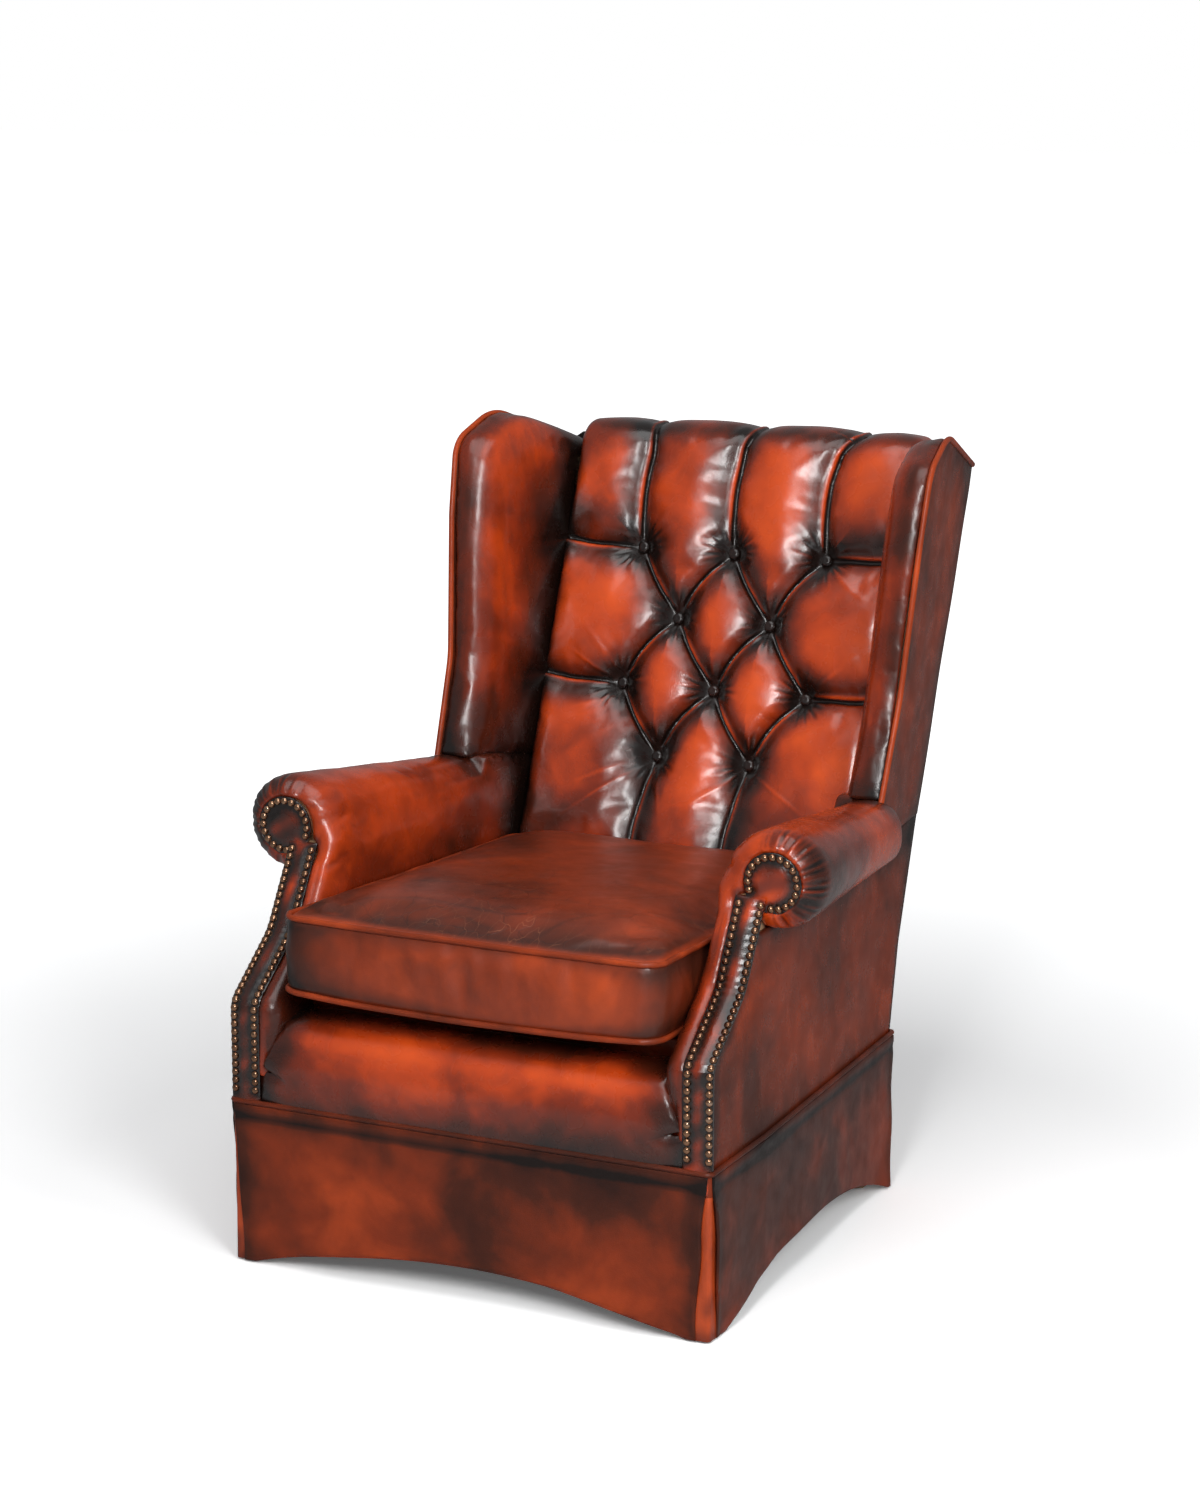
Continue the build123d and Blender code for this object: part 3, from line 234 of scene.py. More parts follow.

# %% [markdown]
# The dye shows in two families. The body is a bright rust that darkens to near black in the
# seams; the cushion, outside panels, skirt and pipings are browner. The outside panels are also
# made darker as painted shade, since they face away from the lamps. Each hide below says how much
# wax it holds, how patchy and streaky it is, and how glossy: the back is polished and the cushion
# is worn dull.

# %% Mix the hides
rust_tones = (
    (0.0, (0.80, 0.095, 0.010)),
    (0.25, (0.55, 0.056, 0.006)),
    (0.48, (0.22, 0.022, 0.004)),
    (0.72, (0.066, 0.010, 0.003)),
    (1.0, (0.007, 0.003, 0.002)),
)
brown_tones = (
    (0.0, (0.56, 0.075, 0.015)),
    (0.32, (0.25, 0.034, 0.009)),
    (0.62, (0.078, 0.016, 0.007)),
    (1.0, (0.010, 0.005, 0.004)),
)
body_skin = leather(
    "antiqued rust leather", rust_tones, wax=0.19, mottle=0.85, patches=0.8, coat=0.55
)
wing_skin = leather("antiqued rust leather of the wings", rust_tones, wax=0.38, streaks=0.2)
arm_skin = leather(
    "antiqued rust leather of the arms", rust_tones, wax=0.39, patches=0.9, coat=0.3
)
cushion_skin = leather(
    "worn cushion leather", brown_tones, wax=0.16, gloss=0.33, shine=0.45, coat=0.08
)
# These panels face away from the lamps: their extra wax is partly real and partly painted shade.
dark_shaded_panel_skin = leather(
    "dark panel leather with painted shade", brown_tones,
    wax=0.46, patches=1.0, streaks=0.14, gloss=0.28, shine=0.16, coat=0.0,
)
skirt_skin = leather(
    "skirt leather", brown_tones,
    wax=0.42, mottle=0.9, patches=1.2, gloss=0.33, shine=0.26, coat=0.02,
)
piping_skin = leather(
    "piping leather", brown_tones, wax=0.24, gloss=0.36, shine=0.25, coat=0.02
)
welt_skin = leather("welt leather", brown_tones, wax=0.62, gloss=0.36, shine=0.25, coat=0.02)
button_skin = leather("waxed button leather", brown_tones, wax=1.0, mottle=0.2, gloss=0.2)
pleat_skin = leather(
    "leather of the corner pleats", brown_tones, wax=0.04, mottle=0.6, gloss=0.38, coat=0.0
)
print("hides", len([skin for skin in bpy.data.materials if "leather" in skin.name]))

# %% [markdown]
# ## Nails, timber, webs and cloth
# The nails are brass with brown patina, brighter where hands rub them. The timber, webs and dust
# cloth are hidden under the leather or below the seat, and still get their own grain or weave.


# %% Make the other finishes
def blend(tree, first, first_share, second, second_share):
    """Sum of two values, each times its share."""
    first_part = maths(tree, "MULTIPLY", first, first_share)
    return maths(tree, "ADD", first_part, maths(tree, "MULTIPLY", second, second_share))


def patinated_brass():
    finish, tree, surface = new_finish("antique brass nails")
    where = add(tree, "ShaderNodeTexCoord").outputs["Object"]
    spots = noise(tree, where, 120.0, 4.0)
    drift = noise(tree, where, 5.0, 2.0)
    age = blend(tree, spots, 0.25, drift, 0.75)
    colour = ramp(tree, age, (
        (0.3, (0.78, 0.66, 0.55)), (0.42, (0.44, 0.25, 0.15)), (0.65, (0.18, 0.085, 0.05)),
    ))
    rough = mapped(tree, spots, 0.3, 0.7, 0.14, 0.30)
    relief = bump(tree, noise(tree, where, 600.0, 2.0), 0.0001, 0.4)
    wire(tree, surface, {
        "Base Color": colour, "Roughness": rough, "Normal": relief, "Metallic": 1.0,
    })
    return finish


def beech_timber():
    finish, tree, surface = new_finish("planed beech")
    where = add(tree, "ShaderNodeTexCoord").outputs["Object"]
    grain = noise(tree, stretched(tree, where, (9.0, 9.0, 1.2)), 9.0, 6.0, 0.8)
    fleck = noise(tree, stretched(tree, where, (400.0, 400.0, 60.0)), 1.0, 2.0)
    mix = blend(tree, grain, 0.8, fleck, 0.2)
    colour = ramp(tree, mix, ((0.3, (0.60, 0.40, 0.23)), (0.7, (0.36, 0.21, 0.11))))
    relief = bump(tree, fleck, 0.0002, 0.5)
    wire(tree, surface, {"Base Color": colour, "Roughness": 0.6, "Normal": relief})
    return finish


def woven(name, warp_colour, weft_colour, pitch):
    finish, tree, surface = new_finish(name)
    where = add(tree, "ShaderNodeTexCoord").outputs["Object"]
    weaves = []
    for direction in ("X", "Y"):
        wave = add(
            tree, "ShaderNodeTexWave", {"Vector": where, "Scale": 0.314 / pitch, "Distortion": 0.4},
            bands_direction=direction,
        )
        weaves.append(wave.outputs["Fac"])
    cloth = maths(tree, "MULTIPLY", weaves[0], weaves[1])
    colour = ramp(tree, cloth, ((0.1, warp_colour), (0.8, weft_colour)))
    wire(tree, surface, {
        "Base Color": colour, "Roughness": 0.9, "Normal": bump(tree, cloth, 0.0004, 0.6),
    })
    return finish


def moulded_plastic():
    finish, tree, surface = new_finish("moulded glide plastic")
    where = add(tree, "ShaderNodeTexCoord").outputs["Object"]
    speck = noise(tree, where, 500.0, 3.0)
    colour = ramp(tree, speck, ((0.3, (0.05, 0.04, 0.035)), (0.7, (0.09, 0.075, 0.065))))
    wire(tree, surface, {
        "Base Color": colour, "Roughness": 0.5, "Normal": bump(tree, speck, 0.0001, 0.4),
    })
    return finish


brass = patinated_brass()
beech = beech_timber()
webbing_cloth = woven("jute webbing", (0.20, 0.14, 0.08), (0.46, 0.36, 0.24), 0.002)
dust_cloth = woven("black dust cloth", (0.012, 0.012, 0.012), (0.05, 0.05, 0.05), 0.0008)
glide_plastic = moulded_plastic()
other_finishes = (brass, beech, webbing_cloth, dust_cloth, glide_plastic)
print("other finishes", [made.name for made in other_finishes])

# %% [markdown]
# CAD pieces that need no new shape, such as rails, webs, glides and the welt, keep their meshes.
# Their names say what they are, so one loop can hand each the finish of its trade.

# %% Dress the CAD pieces
timber_words = ("rail", "stump", "post", "block", "foot_left", "foot_right", "board")
for name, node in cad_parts.items():
    chosen = body_skin
    if "welt" in name:
        chosen = welt_skin
    elif "piping" in name:
        chosen = piping_skin
    elif "webbing" in name:
        chosen = webbing_cloth
    elif "dust" in name:
        chosen = dust_cloth
    elif "glides" in name:
        chosen = glide_plastic
    elif "skirt" in name or "pleat" in name:
        chosen = skirt_skin
    elif any(word in name for word in timber_words):
        chosen = beech
    node.data.materials.clear()
    node.data.materials.append(chosen)
print("nodes given a finish", len(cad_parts))

# %% [markdown]
# ## Shaping helpers
# Padded pieces start from the CAD solid, which has the right outline and seams. A voxel remesh
# gives even quads, and Blender's Cloth with a little pressure tightens and wrinkles them. How far
# a point may move is capped, so that each pad stays in its place between its neighbours.


# %% Helpers for points and lines
def box_of(points):
    return points.min(axis=0), points.max(axis=0)


def read_points(mesh):
    points = np.empty(len(mesh.vertices) * 3)
    mesh.vertices.foreach_get("co", points)
    return points.reshape(-1, 3)


def write_points(mesh, points):
    mesh.vertices.foreach_set("co", np.asarray(points, dtype=float).ravel())
    mesh.update()


def read_normals(mesh):
    normals = np.empty(len(mesh.vertices) * 3)
    mesh.vertices.foreach_get("normal", normals)
    return normals.reshape(-1, 3)


def read_edges(mesh):
    ends = np.empty(len(mesh.edges) * 2, dtype=int)
    mesh.edges.foreach_get("vertices", ends)
    return ends.reshape(-1, 2)


def paint(mesh, name, values):
    layer = mesh.attributes.get(name) or mesh.attributes.new(name, "FLOAT", "POINT")
    layer.data.foreach_set("value", np.clip(values, 0, 1).astype(np.float32))


def rising(value, reach):
    """0 below zero, then straight up to 1 at the reach."""
    return np.clip(value / reach, 0, 1)


def bell(distance, reach):
    """1 at no distance and falling to either side, like a bell."""
    return np.exp(-((distance / reach) ** 2))


def fade(distance, reach):
    """1 at no distance, falling softly to 0 well past the reach."""
    return np.exp(-(np.maximum(distance, 0) / reach) ** 1.5)


def paired(*columns):
    """Columns of numbers side by side, one row for each point."""
    return np.stack(columns, axis=1)


def relax(values, edges, rounds):
    """Averages values over neighbours, a few rounds."""
    count = len(values)
    links = np.bincount(edges.ravel(), minlength=count).astype(float)
    links[links == 0] = 1
    for _ in range(rounds):
        total = np.zeros_like(values)
        for axis in range(values.shape[1]):
            column = values[:, axis]
            total[:, axis] = np.bincount(edges[:, 0], column[edges[:, 1]], count)
            total[:, axis] += np.bincount(edges[:, 1], column[edges[:, 0]], count)
        values = 0.5 * values + 0.5 * total / links[:, None]
    return values


def hollows(mesh, rounds=6, reach=0.0012):
    """How far each point lies below its smoothed surroundings: 1 at a hollow, -1 on a ridge."""
    points = read_points(mesh)
    smooth = relax(points, read_edges(mesh), rounds)
    return np.clip(((smooth - points) * read_normals(mesh)).sum(axis=1) / reach, -1, 1)


def distance_to_line(points, line):
    """Distance from each point to a line of straight runs, in as many axes as the points have."""
    nearest = np.full(len(points), 1e9)
    for start, end in zip(line[:-1], line[1:]):
        run = np.asarray(end, float) - start
        share = np.clip(((points - start) @ run) / max(run @ run, 1e-12), 0, 1)
        nearest = np.minimum(nearest, np.linalg.norm(points - start - share[:, None] * run, axis=1))
    return nearest


def ripple(points, lengths, seed):
    """Smooth wandering value from -1 to 1: a few crossed waves, the same on every run."""
    turn = np.random.default_rng(seed)
    total = np.zeros(len(points))
    for length in lengths:
        heading = turn.normal(size=points.shape[1])
        heading /= np.linalg.norm(heading)
        start = turn.uniform(0, 2 * math.pi)
        total += np.sin(points @ heading * (2 * math.pi / length) + start)
    return total / len(lengths)


print("point helpers ready")

# %% [markdown]
# An upholsterer stuffs a pad, pulls the hide over it and lets it settle. The same steps are
# helpers here: even out the mesh, swell it under a short cloth simulation, smooth it once finer.
# Sculpting by hand would do too, but a simulation gives the pull between seams by itself. Thin
# hides are cut into a grid by planes instead, which keeps their thickness.


# %% Helpers for pieces
def node_mesh(name):
    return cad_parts[name].data.copy()


def finish_piece(name, mesh, skin, replaces=(), body="chair"):
    obj = in_scene(name, mesh)
    mesh.materials.clear()
    mesh.materials.append(skin)
    mesh.polygons.foreach_set("use_smooth", [True] * len(mesh.polygons))
    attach(obj, body)
    if replaces:
        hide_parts(*replaces)
    return obj


def applied(obj):
    """The object's mesh with its modifiers applied."""
    graph = bpy.context.evaluated_depsgraph_get()
    graph.update()
    mesh = bpy.data.meshes.new_from_object(obj.evaluated_get(graph))
    obj.modifiers.clear()
    return mesh


def even_mesh(mesh, voxel, smooth_rounds=3):
    """Voxel remesh of a mesh, smoothed a little."""
    holder = in_scene("holder", mesh)
    remesh = holder.modifiers.new("remesh", "REMESH")
    remesh.mode = "VOXEL"
    remesh.voxel_size = voxel
    even = applied(holder)
    bpy.data.objects.remove(holder)
    write_points(even, relax(read_points(even), read_edges(even), smooth_rounds))
    return even


def swell(mesh, pressure, cap, frames=16, held=None, spare=0.0, stiffness=12.0, calm=1):
    """Short cloth simulation that swells a mesh and lets spare leather wrinkle."""
    holder = in_scene("holder", mesh)
    cloth = holder.modifiers.new("cloth", "CLOTH")
    settings = cloth.settings
    settings.quality = 4
    settings.mass = 0.3
    settings.tension_stiffness = stiffness
    settings.compression_stiffness = stiffness
    settings.shear_stiffness = stiffness / 2
    settings.bending_stiffness = 0.4
    settings.use_pressure = True
    settings.uniform_pressure_force = pressure
    settings.shrink_min = -spare
    settings.effector_weights.gravity = 0
    cloth.collision_settings.use_collision = False
    if held is not None:
        group = holder.vertex_groups.new(name="held")
        for index in np.nonzero(held > 0.02)[0]:
            group.add([int(index)], float(held[index]), "REPLACE")
        settings.vertex_group_mass = "held"
    cloth.point_cache.frame_start = 1
    cloth.point_cache.frame_end = frames
    scene = bpy.context.scene
    for step in range(1, frames + 1):
        scene.frame_set(step)
    moved = applied(holder)
    before = read_points(mesh)
    shift = read_points(moved) - before
    length = np.linalg.norm(shift, axis=1)
    shift *= np.minimum(1, cap / np.maximum(length, 1e-9))[:, None]
    shift = relax(shift, read_edges(mesh), calm)
    bpy.data.objects.remove(holder)
    scene.frame_set(1)
    write_points(mesh, before + shift)
    return mesh


def subdivided(mesh):
    """One smooth subdivision."""
    holder = in_scene("holder", mesh)
    layer = holder.modifiers.new("finer", "SUBSURF")
    layer.levels = 1
    layer.render_levels = 1
    finer = applied(holder)
    bpy.data.objects.remove(holder)
    return finer


def mirrored_mesh(mesh):
    """Copy of a right-hand mesh for the left side."""
    copy = mesh.copy()
    points = read_points(copy)
    points[:, 0] *= -1
    write_points(copy, points)
    copy.flip_normals()
    return copy


def gridded(mesh, pitch):
    """Thin CAD sheet cut by planes into a fine grid, so that it can wave."""
    work = bmesh.new()
    work.from_mesh(mesh)
    bmesh.ops.remove_doubles(work, verts=work.verts, dist=0.00002)
    bmesh.ops.dissolve_limit(work, angle_limit=0.0004, verts=work.verts, edges=work.edges)
    points = np.array([vert.co for vert in work.verts])
    low, high = box_of(points)
    for axis in range(3):
        direction = [0, 0, 0]
        direction[axis] = 1
        span = high[axis] - low[axis]
        if span < 0.032:
            continue
        for index in range(1, int(span / pitch) + 1):
            place = [0, 0, 0]
            place[axis] = low[axis] + span * index / (int(span / pitch) + 1)
            bmesh.ops.bisect_plane(
                work, geom=work.verts[:] + work.edges[:] + work.faces[:], dist=1e-6,
                plane_co=place, plane_no=direction,
            )
    bmesh.ops.triangulate(work, faces=[face for face in work.faces if len(face.verts) > 4])
    fine = bpy.data.meshes.new("fine")
    work.to_mesh(fine)
    work.free()
    return fine


def evened_normals(mesh):
    """Normals weighted by the size of the faces, so that slivers left by the cuts don't show."""
    mesh.polygons.foreach_set("use_smooth", [True] * len(mesh.polygons))
    holder = in_scene("holder", mesh)
    weighted = holder.modifiers.new("weighted", "WEIGHTED_NORMAL")
    weighted.mode = "FACE_AREA"
    weighted.weight = 90
    evened = applied(holder)
    bpy.data.objects.remove(holder)
    return evened


print("piece helpers ready")

# %% [markdown]
# ## Rounded lines
# Many seams run straight with soft bends. This helper walks such a line with arcs at its bends
# and returns points an even step apart, for the pad of the back and for the shading of seams.


# %% Helper for rounded lines
def rounded_line(corners, radii, step):
    corners = [np.array(corner, float) for corner in corners]
    walked = [corners[0]]
    for before, corner, after, radius in zip(corners, corners[1:], corners[2:], radii):
        back = (before - corner) / np.linalg.norm(before - corner)
        ahead = (after - corner) / np.linalg.norm(after - corner)
        half = math.acos(float(np.clip(back @ ahead, -1, 1))) / 2
        if radius <= 0 or half > 1.55:
            walked.append(corner)
            continue
        middle = corner + (back + ahead) / np.linalg.norm(back + ahead) * radius / math.sin(half)
        first = corner + back * radius / math.tan(half) - middle
        last = corner + ahead * radius / math.tan(half) - middle
        turn = math.pi - 2 * half
        for share in np.linspace(0, 1, 13):
            spoke = math.sin((1 - share) * turn) * first + math.sin(share * turn) * last
            walked.append(middle + spoke / math.sin(turn))
    walked.append(corners[-1])
    walked = np.array(walked)
    lengths = walked_lengths(walked)
    count = max(2, int(round(lengths[-1] / step)) + 1)
    places = np.linspace(0, lengths[-1], count)
    return np.stack([np.interp(places, lengths, axis_places) for axis_places in walked.T], axis=1)


def walked_lengths(line):
    """Length walked along a line up to each of its points."""
    return np.concatenate([[0], np.cumsum(np.linalg.norm(np.diff(line, axis=0), axis=1))])


def from_front(depth):
    return depth * mm + front_plane


print("rounded lines ready")

# %% [markdown]
# ## Buttoned inside back
# The back is one hide, stuffed with horsehair and pulled in by ten buttons in rows of three and
# two. Folds run from button to button, up over the crest, down to the seat and out to the wings.
# Buttons and folds are laid out first, as an upholsterer chalks them on the hide: how far across
# and how far along the leather each one lies, in millimetres.

# %% Lay out the buttons and folds
button_heights = (848, 755, 662, 568)
button_pitch = 142
crest = (873, 1016)
bend = (650, 442)
pad_half_width = 262
grid_pitch = 3.8
fold_step = 14
under_cushion = 360
profile_corners = ((650, 345), bend, crest, (949, 1009), (949, 985))
profile = rounded_line(profile_corners, (60, 42, 12), grid_pitch)
profile_walk = walked_lengths(profile)
front_part = profile[:, 1] < crest[1] - 14
front_part &= profile[:, 0] < crest[0]


def walk_at(height):
    return float(np.interp(height, profile[front_part, 1], profile_walk[front_part]))


def row_halves(row):
    """Places across of a row: three buttons in even rows, two between them in odd ones."""
    if row % 2 == 0:
        return (-button_pitch, 0, button_pitch)
    return (-button_pitch / 2, button_pitch / 2)


button_places = [
    (across, walk_at(height), height)
    for row, height in enumerate(button_heights) for across in row_halves(row)
]
folds = []
crest_walk = walk_at(crest[1] - 16) + 30


def bowed(start, end, across, up):
    """Fold that hangs in a slight bow: its middle is moved across and up."""
    middle = ((start[0] + end[0]) / 2 + across, (start[1] + end[1]) / 2 + up)
    return rounded_line((start, middle, end), (150,), fold_step)


def over_the_crest(start):
    """Channel from a top button over the crest, leaning out more towards the sides."""
    across, walk = start
    rise = crest_walk - walk
    top = across + (8 + 0.12 * across)
    corners = (
        start, (across - 8, walk + 0.45 * rise), (across - 2, walk + 0.8 * rise),
        (top, crest_walk), (top, profile_walk[-1]),
    )
    return rounded_line(corners, (260, 200, 60), fold_step)


for row, height in enumerate(button_heights):
    for across in row_halves(row):
        start = (across, walk_at(height))
        if row < len(button_heights) - 1:
            walk_below = walk_at(button_heights[row + 1])
            for below in row_halves(row + 1):
                if 0 < across - below < button_pitch:
                    folds.append(bowed(start, (below, walk_below), -5, 6))
                elif 0 < below - across < button_pitch:
                    folds.append(bowed(start, (below, walk_below), -3, -1))
        if row == 0:
            folds.append(over_the_crest(start))
        if row == len(button_heights) - 1:
            folds.append(bowed(start, (across - 16, walk_at(under_cushion)), -5, 0))
        if abs(across) == button_pitch:
            side = math.copysign(pad_half_width + 30, across)
            folds.append(bowed(start, (side, start[1] + 9), 0, -5))
print("buttons", len(button_places), "folds", len(folds))

# %% [markdown]
# The pad is built as a grid over two lines: the side profile, and a flat cross-section with
# rolled ends. Each grid point sinks by its distance to the nearest fold and button, wide and soft
# for the stuffing, narrow and sharp for the fold. A grid keeps the folds exactly where they were
# laid out, which a remeshed block would blur.


# %% Grid of the back and its sinking
wrap = -46
section_corners = (
    (-pad_half_width, wrap), (-pad_half_width, 0), (pad_half_width, 0), (pad_half_width, wrap),
)
section = rounded_line(section_corners, (15, 15), grid_pitch)


def line_normals(line):
    run = np.gradient(line, axis=0)
    run /= np.linalg.norm(run, axis=1)[:, None]
    return paired(-run[:, 1], run[:, 0])


profile_out = line_normals(profile)
section_out = line_normals(section)


def finer(values):
    """Twice as many rows of a grid, by cubic midpoints."""
    padded = np.concatenate([2 * values[:1] - values[1:2], values, 2 * values[-1:] - values[-2:-1]])
    middles = (9 * (padded[1:-2] + padded[2:-1]) - padded[:-3] - padded[3:]) / 16
    result = np.empty((len(values) * 2 - 1, *values.shape[1:]))
    result[0::2] = values
    result[1::2] = middles
    return result


pillow_reach = 66
fold_reach_wide = 26
dimple_reach = 50
dimple_depth = 30.0
pillow_depth = 19
calm_below = 545


def pillow_sink(across, walk):
    """Depth below the crown of the pillows, and distances to folds and buttons, in millimetres."""
    flat = paired(across.ravel(), walk.ravel())
    to_fold = np.full(len(flat), 1e9)
    wide = np.ones(len(flat))
    narrow = np.ones(len(flat))
    for fold in folds:
        reach = distance_to_line(flat, fold)
        to_fold = np.minimum(to_fold, reach)
        wide *= 1 - np.clip(1 - reach / pillow_reach, 0, 1) ** 2
        narrow *= 1 - np.clip(1 - reach / fold_reach_wide, 0, 1) ** 2
    to_button = np.full(len(flat), 1e9)
    drop = np.zeros(len(flat))
    for place_x, place_walk, height in button_places:
        reach = np.hypot(flat[:, 0] - place_x, flat[:, 1] - place_walk)
        deep = dimple_depth + (height - button_heights[0]) * -0.012
        near = np.clip(1 - reach / dimple_reach, 0, 1)
        drop = np.maximum(drop, (deep - pillow_depth) * near**2)
        to_button = np.minimum(to_button, reach)
    over_crest = rising(flat[:, 1] - crest_walk + 60, 90)
    near_seat = rising(walk_at(calm_below) - flat[:, 1], 70)
    sink = 9.5 * (1 - wide) + 10.0 * (1 - narrow)
    sink = sink * (1 - 0.82 * over_crest) * (1 - 0.5 * near_seat)
    shape = across.shape
    return (sink + drop).reshape(shape), to_fold.reshape(shape), to_button.reshape(shape)


across_grid, walk_grid = np.meshgrid(section[:, 0], profile_walk)
sink, to_fold, to_button = pillow_sink(across_grid, walk_grid)
shoulder_start, shoulder_run, shoulder_drop, shoulder_height = 216, 46, 7, 900


def back_points(sink_depth):
    rows, columns = sink_depth.shape
    lift = section[None, :, 1] - sink_depth * np.clip(section_out[None, :, 1], 0.25, 1)
    points = np.empty((rows, columns, 3))
    points[:, :, 0] = section[None, :, 0]
    points[:, :, 1] = profile[:, None, 0] + profile_out[:, None, 0] * lift
    points[:, :, 2] = profile[:, None, 1] + profile_out[:, None, 1] * lift
    shoulder = rising(np.abs(points[:, :, 0]) - shoulder_start, shoulder_run)
    fall = shoulder_drop * (1 - np.sqrt(1 - shoulder**2 * 0.98))
    points[:, :, 2] -= fall * rising(points[:, :, 2] - shoulder_height, 100)
    points[:, :, 1] += front_plane / mm
    return points * mm


def grid_mesh(name, points):
    rows, columns = points.shape[:2]
    faces = []
    for row in range(rows - 1):
        base = row * columns
        for column in range(columns - 1):
            low = base + column
            faces.append((low, low + 1, low + columns + 1, low + columns))
    mesh = bpy.data.meshes.new(name)
    mesh.from_pydata(points.reshape(-1, 3).tolist(), [], faces)
    mesh.update()
    return mesh


coarse = back_points(sink)
back_mesh = grid_mesh("inside back coarse", coarse)
first_normal = [round(part, 2) for part in back_mesh.polygons[0].normal]
print("back grid", coarse.shape[:2], "normal of first face", first_normal)

# %% [markdown]
# Stuffing pushes the leather out wherever the twine doesn't hold it. The cloth swells the same
# way, with folds, buttons and edges held by a vertex group. Cubic midpoints then make the grid
# twice as fine in each direction, for the folds and wrinkles that follow.

# %% Swell the pillows
edge_rows = np.zeros(sink.shape)
edge_rows[:2, :] = edge_rows[-2:, :] = 1
edge_rows[:, :4] = edge_rows[:, -4:] = 1
hold = np.maximum(edge_rows, np.maximum(fade(to_fold, 5), fade(to_button, 12)))
back_mesh = swell(back_mesh, 3.2, 0.007, frames=14, held=hold.ravel(), spare=0.010, calm=5)
swollen = read_points(back_mesh).reshape(coarse.shape)
fine_points = finer(finer(swollen).transpose(1, 0, 2)).transpose(1, 0, 2)
fine_across = finer(finer(across_grid).T).T
fine_walk = finer(finer(walk_grid).T).T
print("fine back grid", fine_points.shape[:2])

# %% [markdown]
# A real fold tucks one side of the leather under the other: a narrow dark groove with a lip
# beside it that catches the light. Short wrinkles run out from each button like spokes, because
# the round dimple gathers more leather than it needs. All of them are heights added along the
# normals, since the folds are too fine for the simulation.


# %% Add lips, grooves and spokes
def signed_to_folds(flat):
    nearest = np.full(len(flat), 1e9)
    signed = np.zeros(len(flat))
    for fold in folds:
        for start, end in zip(fold[:-1], fold[1:]):
            run = end - start
            share = np.clip(((flat - start) @ run) / (run @ run), 0, 1)
            off = flat - start - share[:, None] * run
            reach = np.linalg.norm(off, axis=1)
            side = np.sign(run[0] * off[:, 1] - run[1] * off[:, 0])
            near = reach < nearest
            nearest = np.where(near, reach, nearest)
            signed = np.where(near, reach * side, signed)
    return nearest, signed


def spokes(flat):
    """Fine wrinkles round the buttons, and the wax they hold."""
    lift = np.zeros(len(flat))
    for index, (place_x, place_walk, _) in enumerate(button_places):
        off_x, off_walk = flat[:, 0] - place_x, flat[:, 1] - place_walk
        reach = np.hypot(off_x, off_walk)
        angle = np.arctan2(off_walk, off_x)
        wander = 0.5 * np.sin(3 * angle + index) + 0.35 * np.sin(reach / 9 + 2 * index)
        wave = np.sin(17 * angle + wander * 1.6) + 0.6 * np.sin(29 * angle - wander * 2 + index)
        window = bell(reach - 24, 16) * (0.65 + 0.35 * np.sin(2 * angle + 1.3 * index))
        lift += wave * window
    return lift


fine_flat = paired(fine_across.ravel(), fine_walk.ravel())
fold_reach, fold_side = signed_to_folds(fine_flat)
_, _, button_reach = pillow_sink(fine_across, fine_walk)
button_reach = button_reach.ravel()
spoke = spokes(fine_flat)
clear_of_button = rising(button_reach - 9, 12)
lip_height, lip_place, groove_depth = 2.2, 5.6, 3.0
lip = lip_height * bell(fold_side - lip_place, 3.4) * clear_of_button
groove = groove_depth * bell(fold_reach, 2.3) * clear_of_button
drawn_creases = (
    ((-88, 548), (-196, 470)), ((-90, 560), (-186, 515)), ((-150, 680), (-215, 745)),
    ((-160, 668), (-226, 700)), ((160, 672), (232, 730)), ((62, 548), (-5, 498)),
    ((88, 556), (180, 505)), ((-60, 548), (-40, 480)), ((-150, 640), (-225, 600)),
    ((20, 640), (50, 590)), ((-15, 820), (-45, 780)), ((160, 830), (225, 790)),
)
stretch = np.zeros(len(fine_flat))
for number, ((near_x, near_z), (far_x, far_z)) in enumerate(drawn_creases):
    start = np.array((near_x, walk_at(near_z)), float)
    end = np.array((far_x, walk_at(far_z)), float)
    run = end - start
    share = np.clip(((fine_flat - start) @ run) / (run @ run), 0, 1)
    reach = np.linalg.norm(fine_flat - start - share[:, None] * run, axis=1)
    along = np.sin(math.pi * np.clip(share * 0.9 + 0.1, 0, 1))
    stretch += bell(reach, 2.6 + number % 3) * along
long_wrinkles = ripple(fine_flat * (1, 0.35), (38, 55, 71, 90), 5) * 0.35
detail = (lip - groove + 0.5 * spoke + 0.9 * stretch + long_wrinkles) * mm

fine_mesh = grid_mesh("inside back", fine_points)
write_points(fine_mesh, read_points(fine_mesh) + read_normals(fine_mesh) * detail[:, None])
print("back detail from", round(detail.min() / mm, 1), "to", round(detail.max() / mm, 1), "mm")

# %% [markdown]
# The wax cloth skims the pillows and leaves dark colour in every hollow: round the buttons, along
# the folds and at the sides. The pillows are also darker over the crest. The lip of a fold gets a
# painted highlight, and the foot of the back a painted shadow where the cushion stands against it.
# The shade is worked out from the same distances as the shape, so the two always meet.

# %% Shade the back
streaky = button_reach * (1 + 0.16 * spoke)
shade = 1.15 * fade(streaky, 28) + 0.45 * fade(fold_reach, 2.6) + 0.42 * fade(fold_reach, 22)
shade += 0.26 * fade(np.abs(fold_side - 20), 16) * clear_of_button
